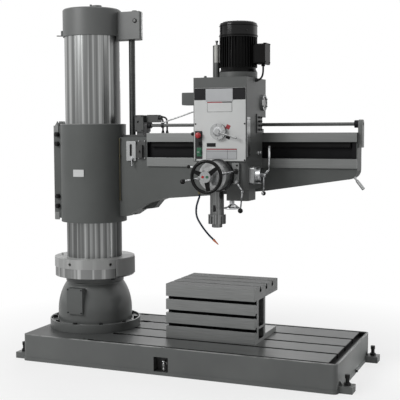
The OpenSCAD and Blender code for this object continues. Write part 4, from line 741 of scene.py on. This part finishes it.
# Nodes that are shown as they are, by their finish
nodeFinish = {
    "boltBlack": ["base_bolts", "sleeve_bolts"], "ringSteel": ["inner_pillar", "clamp_ring"],
    "satinSteel": ["coolant_tap", "pillar_bearings", "arm_handle", "spindle_bearings", "speed_dial"],
    "columnSteel": ["column_tube"], "screwSteel": ["elevating_screw"], "oiledRackInPaintedShade": ["arm_rack"],
    "darkPaint": ["elevating_motor"], "bronze": ["elevating_nut"], "oilBrass": ["lube_pipe"],
    "brightSteel": ["arm_lock_lever", "fine_feed_wheel"], "railFinish": ["cable_rail"],
    "motorFinish": ["motor_housing"], "sideFinish": ["side_fittings"], "guardFinish": ["spindle_guard"],
    "gearSteel": ["motor_rotor", "drive_gear", "traverse_pinion"], "drumScale": ["feed_drum"],
    "quillSteel": ["quill", "nose_nut", "spindle"], "leverFinish": ["feed_levers"],
    "wheelFinish": ["traverse_handwheel"], "clutchFinish": ["clutch_lever"],
    "directionFinish": ["direction_lever"], "blackPlastic": ["selector_knob"],
    "redPlastic": ["estop_button", "clamp_button"], "greenPlastic": ["start_button", "release_button"],
    "nozzleFinish": ["coolant_nozzle"],
}
for material, nodeNames in nodeFinish.items():
    for nodeName in nodeNames:
        setMaterial(nodeOf[nodeName].data, material)

# Castings and plates with their edges broken
dressValues = {
    "base_casting": ("baseCasting", "basePaint", 0.004),
    "column_pedestal": ("columnFoot", "footPaint", 0.003),
    "pedestal_cover": ("footCover", "footPaint", 0.003), "box_table": ("boxTable", "ironTable", 0.0015),
    "swivel_collar": ("swivelCollar", "collarGrey", 0.002), "column_cap": ("columnCap", "capPaint", 0.003),
    "arm_casting": ("armCasting", "armPaint", 0.004), "arm_guideways": ("armWays", "wayIron", 0.001),
    "elevating_gearbox": ("liftGearbox", "darkPaint", 0.003),
    "rail_brackets": ("railBrackets", "bracketFinish", 0.002),
    "limit_switch": ("stopPlate", "stopFinish", 0.001),
    "head_casting": ("headCasting", "castPaint", 0.004), "front_panel": ("frontPanel", "panelWhite", 0.001),
    "switch_plate": ("switchPlate", "blackPlastic", 0.001), "fan_cover": ("fanCover", "fanPaint", 0.002),
    "terminal_box": ("terminalBox", "motorPaint", 0.003), "side_box": ("sideBox", "castPaint", 0.003),
    "feed_bracket": ("feedBracket", "dullSteel", 0.0015),
}
for nodeName, values in dressValues.items():
    dressCopy(nodeName, *values)
print("castings dressed")

# Coolant hose of snapped links, with the route of the CAD's own points
hoseValues = {"radius": 0.007, "links": 40, "sides": 16, "steps": 8,
              "profile": [(0.62, 0), (0.98, 0.08), (1.0, 0.4), (0.9, 0.62), (0.66, 0.8), (0.6, 1.02)]}
hosePoints = [(x, -0.33, z) for x, z in (
    (0.95, 1.166), (0.95, 1.152), (0.945, 1.136), (0.938, 1.118), (0.932, 1.098), (0.928, 1.076),
    (0.927, 1.054), (0.929, 1.034), (0.935, 1.014), (0.944, 0.996), (0.956, 0.978), (0.97, 0.958),
    (0.986, 0.938), (1.002, 0.92), (1.019, 0.902), (1.035, 0.888), (1.046, 0.878))]


def pointAlong(route, distance):
    for a, b in zip(route, route[1:]):
        step = (b - a).length
        if distance <= step:
            return a + (b - a) * (distance / step), (b - a).normalized()
        distance -= step
    return route[-1], (route[-1] - route[-2]).normalized()


def addHose(values):
    route = smoothRoute(hosePoints, values["steps"])
    total = sum((b - a).length for a, b in zip(route, route[1:]))
    r = values["radius"]
    step = total / values["links"]
    rings = [(r * wide, step * high) for wide, high in values["profile"]]
    first = addTurned("hoseLink", rings, (0, 0, 0), "Z", "hosePlastic", "head", values["sides"])
    made = []
    for i in range(values["links"]):
        place, heading = pointAlong(route, i * step)
        link = newObject("hoseLink", first.data.copy())
        link.matrix_world = Matrix.Translation(place) @ heading.to_track_quat("Z", "Y").to_matrix().to_4x4()
        made.append(link)
    bpy.data.objects.remove(first)
    hose = joinPieces(made, "coolantHose", "hosePlastic", "head")
    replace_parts(hose, "coolant_hose")


addHose(hoseValues)

# Cables that are held at both ends, with a gland at each end that shows
cableValues = {"radius": 0.006, "steps": 6}
cableRoutes = {
    "armCableFront": [(x, 0.032, z) for x, z in (
        (0.5, 1.66), (0.513, 1.66), (0.524, 1.653), (0.529, 1.64), (0.53, 1.62), (0.53, 1.59),
        (0.53, 1.557))],
    "armCableBack": [(x, 0.058, z) for x, z in (
        (0.5, 1.668), (0.515, 1.668), (0.532, 1.665), (0.544, 1.655), (0.549, 1.64), (0.55, 1.605),
        (0.55, 1.557))],
    "motorCable": [(x, -0.19, z) for x, z in (
        (1.33, 1.979), (1.33, 1.96), (1.329, 1.938), (1.325, 1.918), (1.316, 1.902), (1.303, 1.892),
        (1.292, 1.889), (1.282, 1.889))],
}
glandRings = [(0.011, 0), (0.011, 0.006), (0.009, 0.008), (0.009, 0.014), (0.0072, 0.017)]
glandPlaces = [("armCableFront", 0, "X", "arm"), ("armCableBack", 0, "X", "arm"),
               ("armCableFront", -1, "Z", "arm"), ("armCableBack", -1, "Z", "arm"),
               ("motorCable", -1, "X", "head")]


def addCable(name, *owner):
    route = smoothRoute(cableRoutes[name], cableValues["steps"])
    return addTube(name, route, cableValues["radius"], "cableRubber", *owner)


armCables = [addCable(name) for name in ("armCableFront", "armCableBack")]
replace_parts(joinPieces(armCables, "armCables", "cableRubber", "arm"), "arm_cables")
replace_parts(addCable("motorCable", "head", "black_rubber"), "motor_cable")
for i, (name, end, axis, body) in enumerate(glandPlaces):
    addTurned("cableGland%d" % (i + 1), glandRings, cableRoutes[name][end], axis, "blackPlastic", body, 16)

# Thin conduit from the rail to the head
conduitValues = {"radius": 0.005, "steps": 8,
                 "points": [(0.545, -0.005, 1.627), (0.6, -0.009, 1.645), (0.68, -0.016, 1.668),
                            (0.76, -0.027, 1.692), (0.84, -0.042, 1.714), (0.9, -0.056, 1.727),
                            (0.921, -0.06, 1.731)]}
conduit = addTube("headConduit", smoothRoute(conduitValues["points"], conduitValues["steps"]),
                  conduitValues["radius"], "satinSteel")
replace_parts(conduit, "head_conduit")
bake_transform(conduit)
addTurned("conduitPlug", [(0.0055, 0), (0.009, 0.002), (0.009, 0.016), (0.007, 0.019), (0.007, 0.024)],
          (0.904, -0.057, 1.729), "X", "blackPlastic", "head", 20)
addTurned("conduitRing", [(0.0118, 0), (0.018, 0.0005), (0.018, 0.0155), (0.0118, 0.016)],
          (0.537, -0.005, 1.61), "X", "blackPlastic", "arm", 32)
print("hose, cables and conduit made")

# Front panel: each plate's left, right, bottom, top, thickness and material
panelValues = {"y": -0.376, "line": 0.0015, "lineDepth": 0.0006, "tilt": 20, "markDepth": 0.0014}
panelY = panelValues["y"]
panelPlates = {
    "panelBand": (0.936, 1.277, 1.762, 1.8355, 0.0012, "plateBlack"),
    "barePlate": (1.014, 1.194, 1.753, 1.831, 0.003, "plateGrey"),
    "infoPlate": (1.024, 1.189, 1.687, 1.748, 0.001, "panelWhite"),
    "infoBarLeft": (1.024, 1.125, 1.744, 1.75, 0.0016, "plateRed"),
    "infoBarRight": (1.125, 1.189, 1.744, 1.75, 0.0016, "plateBlack"),
    "dataPlate": (1.018, 1.221, 1.393, 1.459, 0.001, "plateGrey"),
    "dataBar": (1.018, 1.221, 1.452, 1.459, 0.0016, "plateRed"),
    "darkPlate": (1.02, 1.08, 1.4695, 1.4935, 0.0012, "plateBlack"),
}
for name, (x0, x1, z0, z1, thickness, material) in panelPlates.items():
    addPlate(name, (x0, panelY - thickness, z0), (x1, panelY, z1), min(0.0006, thickness * 0.4), material,
             "head")


# Black lines round a plate, and the lines across it
def addFrameLines(name, plate, across=()):
    x0, x1, z0, z1, thickness = panelPlates[plate][:5]
    width = panelValues["line"]
    y = panelY - thickness
    bars = [(x0, x1, z0, z0 + width), (x0, x1, z1 - width, z1), (x0, x0 + width, z0, z1),
            (x1 - width, x1, z0, z1), *across]
    front = y - panelValues["lineDepth"]
    made = [addPlate("%s%d" % (name, i), (a, front, c), (b, y, d), 0.0002, "plateBlack", "head")
            for i, (a, b, c, d) in enumerate(bars)]
    joinPieces(made, name, "plateBlack", "head")


addFrameLines("infoLines", "infoPlate")
addFrameLines("dataLines", "dataPlate", [(1.158, 1.1595, 1.393, 1.453), (1.018, 1.221, 1.441, 1.4422)])


def addDiamond(name, x, z, half, material):
    depth = panelValues["markDepth"]
    clearSelection()
    bpy.ops.mesh.primitive_cylinder_add(vertices=4, radius=half, depth=depth,
                                        location=(x, panelY - depth / 2, z),
                                        rotation=(radians(90), 0, 0))
    piece = bpy.context.object
    bakePlace()
    editAll()
    bpy.ops.transform.rotate(value=radians(panelValues["tilt"]), orient_axis="Y",
                             center_override=(x, panelY, z))
    leaveEdit()
    bevelEdges(piece, 0.0004)
    settle(piece, name, material, "head")


addDiamond("redMark", 1.163, 1.594, 0.0185, "plateRed")
addDiamond("blackMark", 1.164, 1.532, 0.0185, "plateBlack")
addScrews("panelScrews", [(x, panelY, z) for z in (1.613, 1.388) for x in (0.944, 1.272)], "-Y", 0.005, 0.003,
          "head")

# Numbers round the dial, and its hub
dialValues = {"centre": (1.102, 1.565), "ring": 0.042, "face": -0.4005, "hubFace": -0.4003, "size": 0.013,
              "depth": 0.0004, "count": 6, "first": 150, "step": 48}
dialX, dialZ = dialValues["centre"]


def addNumber(i):
    name = "dialNumber%d" % (i + 1)
    shape = bpy.data.curves.new(name, "FONT")
    shape.body = str(i + 1)
    shape.size = dialValues["size"]
    shape.extrude = dialValues["depth"]
    shape.align_x = "CENTER"
    shape.align_y = "CENTER"
    piece = meshFrom(name, shape)
    angle = radians(dialValues["first"] - dialValues["step"] * i)
    place = (dialX + dialValues["ring"] * cos(angle), dialValues["face"],
             dialZ + dialValues["ring"] * sin(angle))
    piece.matrix_world = Matrix.Translation(place) @ towards["-Y"]
    return settle(piece, name, "plateBlack", "dial")


joinPieces([addNumber(i) for i in range(dialValues["count"])], "dialNumbers", "plateBlack", "dial")
addTurned("dialHub", [(0.03, 0), (0.03, 0.003), (0.027, 0.006), (0.018, 0.007)],
          (dialX, dialValues["hubFace"], dialZ), "-Y", "brightSteel", "dial", 40)

# Green frame of the start button with a bare light mark, and a collar under the stop button
addPlate("startFrame", (0.954, -0.3815, 1.41), (0.986, -0.379, 1.464), 0.0008, "greenPlastic", "head")
addTurned("stopCollar", [(0.0215, 0), (0.0215, 0.003), (0.018, 0.0045)], (0.97, -0.379, 1.542), "-Y",
          "blackPlastic", "head", 36)
addPlate("startMark", (0.963, -0.396, 1.4345), (0.977, -0.3948, 1.4395), 0.0004, "plateGrey", "start")
print("front panel made")

# Round cover on the right side, with its glass and screws
sightValues = {"centre": (-0.054, 1.751), "glassX": 1.2902, "screwX": 1.298, "screws": 6, "pitch": 0.046}
sightY, sightZ = sightValues["centre"]
sightAngles = [2 * pi * (i + 0.5) / sightValues["screws"] for i in range(sightValues["screws"])]
addTurned("sightGlass", [(0.0398, 0), (0.0398, 0.002), (0.03, 0.0045), (0.008, 0.0055)],
          (sightValues["glassX"], sightY, sightZ), "X", "glassDark", "head", 40)
addScrews("sightScrews", [(sightValues["screwX"], sightY + sightValues["pitch"] * cos(angle),
                           sightZ + sightValues["pitch"] * sin(angle)) for angle in sightAngles], "X",
          0.004, 0.003, "head")
addScrews("stripScrews", [(1.286, y, z) for y in (-0.357, -0.319) for z in (1.42, 1.53, 1.64)], "X", 0.003,
          0.002, "head")

# Small bolts where covers are screwed on
addScrews("coverScrews", [(x, -0.278, z) for x in (-0.062, 0.042) for z in (0.316, 0.475)], "-Y", 0.005,
          0.003, "base")
addScrews("bracketScrews", [(1.222, -0.378, 1.355), (1.222, -0.378, 1.305), (1.195, -0.378, 1.25)], "-Y",
          0.006, 0.004, "head")
addScrews("terminalScrews", [(1.3635, y, z) for y in (-0.243, -0.16) for z in (1.998, 2.112)], "X", 0.004,
          0.003, "head")
addScrews("gearboxScrews", [(x, -0.02, z) for x in (0.348, 0.394) for z in (1.576, 1.672)], "-Y", 0.004,
          0.003, "arm")

# Glass on the cap's nose, oil cap and drain plug
addTurned("noseRing", [(0.0105, 0), (0.015, 0.0), (0.015, 0.005), (0.0125, 0.007), (0.0105, 0.007)],
          (0.34, -0.01, 2.33), "-Y", "boltBlack", "column", 32)
addTurned("noseGlass", [(0.0095, 0), (0.0095, 0.001), (0.006, 0.0022)], (0.34, -0.016, 2.33), "-Y",
          "capPaint", "column", 24)
addTurned("oilCap", [(0.011, 0), (0.011, 0.004), (0.008, 0.006), (0.008, 0.01), (0.0065, 0.012)],
          (0.993, -0.33, 1.903), "Z", "castPaint", "head", 24)
addTurned("drainPlug", [(0.011, 0), (0.011, 0.004), (0.008, 0.006), (0.008, 0.016), (0.006, 0.018)],
          (1.886, 0.03, 0.02), "X", "boltBlack", "base", 24)

# Oiler block with its nipples, where the head passes the upper guideway, and a knob below
oilerValues = {"low": (1.2818, -0.185, 1.556), "high": (1.2895, -0.085, 1.676), "rows": (-0.155, -0.115),
               "nipples": 4, "first": 1.577, "step": 0.026}
addPlate("oilerBlock", oilerValues["low"], oilerValues["high"], 0.0015, "darkPaint", "head")
addScrews("oilerNipples", [(oilerValues["high"][0], y, oilerValues["first"] + oilerValues["step"] * i)
                           for i in range(oilerValues["nipples"]) for y in oilerValues["rows"]], "X", 0.0075,
          0.009, "head", sides=6)
addTurned("wiperKnob", [(0.012, 0), (0.012, 0.006), (0.009, 0.01), (0.009, 0.016), (0.012, 0.019),
                        (0.01, 0.024)], (1.2818, -0.15, 1.428), "X", "satinSteel", "head", 24)

# Fan cover: each band's swell, width and height, and the bolts between the bands
fanValues = {"centre": (1.168, -0.2014), "radius": 0.1205, "bolts": 4, "boltHeight": 2.192}
fanBands = {"fanBand": (0.003, 0.01, 2.162), "fanBandTop": (0.002, 0.005, 2.226)}
fanX, fanY = fanValues["centre"]
fanRadius = fanValues["radius"]
for name, (swell, width, height) in fanBands.items():
    addTurned(name, [(fanRadius, 0.0), (fanRadius + swell, 0.001), (fanRadius + swell, width - 0.001),
                     (fanRadius, width)], (fanX, fanY, height), "Z", "motorPaint", "head", 72)
for i in range(fanValues["bolts"]):
    angle = 2 * pi * (i + 0.5) / fanValues["bolts"]
    spot = (fanX + fanRadius * cos(angle), fanY + fanRadius * sin(angle), fanValues["boltHeight"])
    addTurned("fanBolt%d" % (i + 1), [(0.007, 0), (0.007, 0.006), (0.005, 0.008)], spot, "Z", "boltBlack",
              "head", 6)

# Plate behind the limit switch on the arm
addPlate("switchBase", (0.3755, -0.0505, 1.377), (0.436, -0.045, 1.509), 0.0015, "darkPaint", "arm")
addScrews("switchBaseScrews", [(x, -0.0505, z) for x in (0.383, 0.4285) for z in (1.3845, 1.5015)], "-Y",
          0.0045, 0.003, "arm", "satinSteel")

# Tap in the base's pocket: offset, axis and rings of each of its pieces
tapPlace = Vector((0.74, -0.434, 0.022))
tapPieces = {
    "tapBody": ((0, 0, 0), "Z", [(0.006, 0.004), (0.01, 0.006), (0.01, 0.016), (0.007, 0.02), (0.007, 0.03),
                                 (0.012, 0.034), (0.012, 0.048), (0.008, 0.052), (0.005, 0.06)]),
    "tapBranch": ((0, 0.004, 0.041), "Y", [(0.009, 0), (0.009, 0.02), (0.012, 0.021), (0.012, 0.03)]),
    "tapHandle": ((0, 0, 0), "Z", [(0.004, 0.058), (0.013, 0.06), (0.015, 0.064), (0.013, 0.068),
                                   (0.005, 0.07)]),
}
tap = [addTurned(name, rings, tapPlace + Vector(offset), axis, "satinSteel", "base", 28)
       for name, (offset, axis, rings) in tapPieces.items()]
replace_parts(joinPieces(tap, "coolantTap", "satinSteel", "base"), "coolant_tap")

# Knurled handle at the arm's lower right corner, leaning along its own direction
gripValues = {"place": (1.882, -0.033, 1.276), "lean": 141.5, "start": 0.026, "end": 0.096, "ribs": 9,
              "stem": 0.0068, "stemStart": -0.012, "shoulder": 0.0075, "swell": 0.0105, "growth": 0.0012,
              "groove": 0.0008, "tip": 0.006, "tipLength": 0.002, "sides": 28}


def addHandle(values):
    towards["grip"] = Matrix.Rotation(radians(values["lean"]), 4, "Y")
    step = (values["end"] - values["start"]) / values["ribs"]
    rings = [(values["stem"], values["stemStart"]), (values["stem"], values["start"]),
             (values["shoulder"], values["start"])]
    for i in range(values["ribs"]):
        base = values["start"] + step * i
        swell = values["swell"] + values["growth"] * i / values["ribs"]
        rings += [(swell, base + 0.25 * step), (swell, base + 0.75 * step),
                  (swell - values["groove"], base + step)]
    rings.append((values["tip"], values["end"] + values["tipLength"]))
    handle = addTurned("armHandle", rings, values["place"], "grip", "satinSteel", "arm", values["sides"])
    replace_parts(handle, "arm_handle")


addHandle(gripValues)

# Light end blocks on the front of the sleeve's clamping ears, the upper one with a pointed stud
earValues = {"low": (-0.289, -0.0645), "high": (-0.25, -0.0565), "height": 0.0545, "edge": 0.003,
             "stud": (-0.2675, -0.045, 1.612)}
for name, base in (("earBlockFoot", 0.938), ("earBlockTop", 1.559)):
    addPlate(name, (*earValues["low"], base), (*earValues["high"], base + earValues["height"]),
             earValues["edge"], "blockGrey", "arm")
addTurned("earStud", [(0.0175, 0), (0.0175, 0.004), (0.001, 0.033)], earValues["stud"], "Z", "blockGrey",
          "arm", 24)

# Pale thin ring round the sleeve's upper edge: a painted highlight of the edge, made as a bead
edgeHighlightValues = {"radius": 0.2308, "thick": 0.003, "height": 1.6195, "sides": 128, "rings": 10}
clearSelection()
bpy.ops.mesh.primitive_torus_add(major_radius=edgeHighlightValues["radius"], minor_radius=edgeHighlightValues["thick"],
                                 major_segments=edgeHighlightValues["sides"], minor_segments=edgeHighlightValues["rings"],
                                 location=(0, 0, edgeHighlightValues["height"]))
edgeHighlightRing = bpy.context.object
smoothByAngle(edgeHighlightRing)
settle(edgeHighlightRing, "sleeveEdgeHighlight", "blockGrey", "arm")

# Bare label on the sleeve
addPlate("sleeveLabel", (-0.033, -0.2328, 1.258), (0.05, -0.2285, 1.307), 0.0008, "panelWhite", "arm")
print("plates and screws made")

# Pale floor that glows for the camera, more so far away, and a white backdrop
stageValues = {"floor": 60.0, "floorColour": (0.86, 0.86, 0.86), "centre": (0.8, 0, 0), "near": 1.2,
               "far": 2.6, "nearGlow": 0.7, "worldLevel": 0.26}


def floorMaterial():
    tree, shader = startMaterial("paleFloor")
    plug(shader["Base Color"], stageValues["floorColour"])
    plug(shader["Roughness"], 0.9)
    glow = makeNode(tree, "Emission", {"Strength": 1.0})[0]
    away = vectorNode(tree, "LENGTH", vectorNode(tree, "SUBTRACT", objectPoint(tree), stageValues["centre"]))
    glowShare = rangeNode(tree, away, stageValues["near"], stageValues["far"], stageValues["nearGlow"], 1.0)
    share = product(tree, makeNode(tree, "LightPath", {})["Is Camera Ray"], glowShare)
    surface = tree.nodes["Principled BSDF"].outputs[0]
    mixed = makeNode(tree, "MixShader", {0: share, 1: surface, 2: glow})[0]
    plug(tree.nodes["Material Output"].inputs["Surface"], mixed)


def addBackdrop():
    world = bpy.data.worlds.new("studio")
    bpy.context.scene.world = world
    world.use_nodes = True
    tree = world.node_tree
    backdrop = tree.nodes["Background"].inputs
    rays = makeNode(tree, "LightPath", {})
    seen = anyOf(tree, rays["Is Camera Ray"], rays["Is Glossy Ray"], rays["Is Transmission Ray"])
    plug(backdrop["Color"], (1, 1, 1))
    plug(backdrop["Strength"], between(tree, seen, stageValues["worldLevel"], 1.0))


clearSelection()
bpy.ops.mesh.primitive_plane_add(size=stageValues["floor"], location=(0, 0, 0))
floor = bpy.context.object
floor.name = "studioFloor"
floorMaterial()
setMaterial(floor.data, "paleFloor")
addBackdrop()

# Lamps: place, target, size, power and, where it is narrow, spread
lampValues = {
    "keyLamp": ((-2.6, -5.2, 4.6), (0.5, 0, 1.2), 3.0, 255.0),
    "fillLamp": ((4.6, 3.6, 2.6), (0.8, 0, 1.2), 3.0, 21.0),
    "lowLamp": ((3.3, 0.5, 0.5), (1.8, 0, 0.05), 0.6, 1.25, 46.0),
    "topLamp": ((1.0, 0.4, 6.0), (0.8, 0, 0.5), 3.0, 25.0),
    "backLamp": ((-1.5, 5.0, 3.6), (0.8, 0, 1.2), 3.0, 60.0),
}


def addLamp(name, place, target, size, power, spread=180.0):
    bpy.ops.object.light_add(type="AREA", location=place)
    lamp = bpy.context.object
    lamp.name = name
    lamp.data.size = size
    lamp.data.spread = radians(spread)
    lamp.data.energy = power
    aim = Vector(target) - Vector(place)
    lamp.rotation_euler = aim.to_track_quat("-Z", "Y").to_euler()


for name, values in lampValues.items():
    addLamp(name, *values)
bpy.context.scene.view_settings.view_transform = "Standard"
print("studio lit")
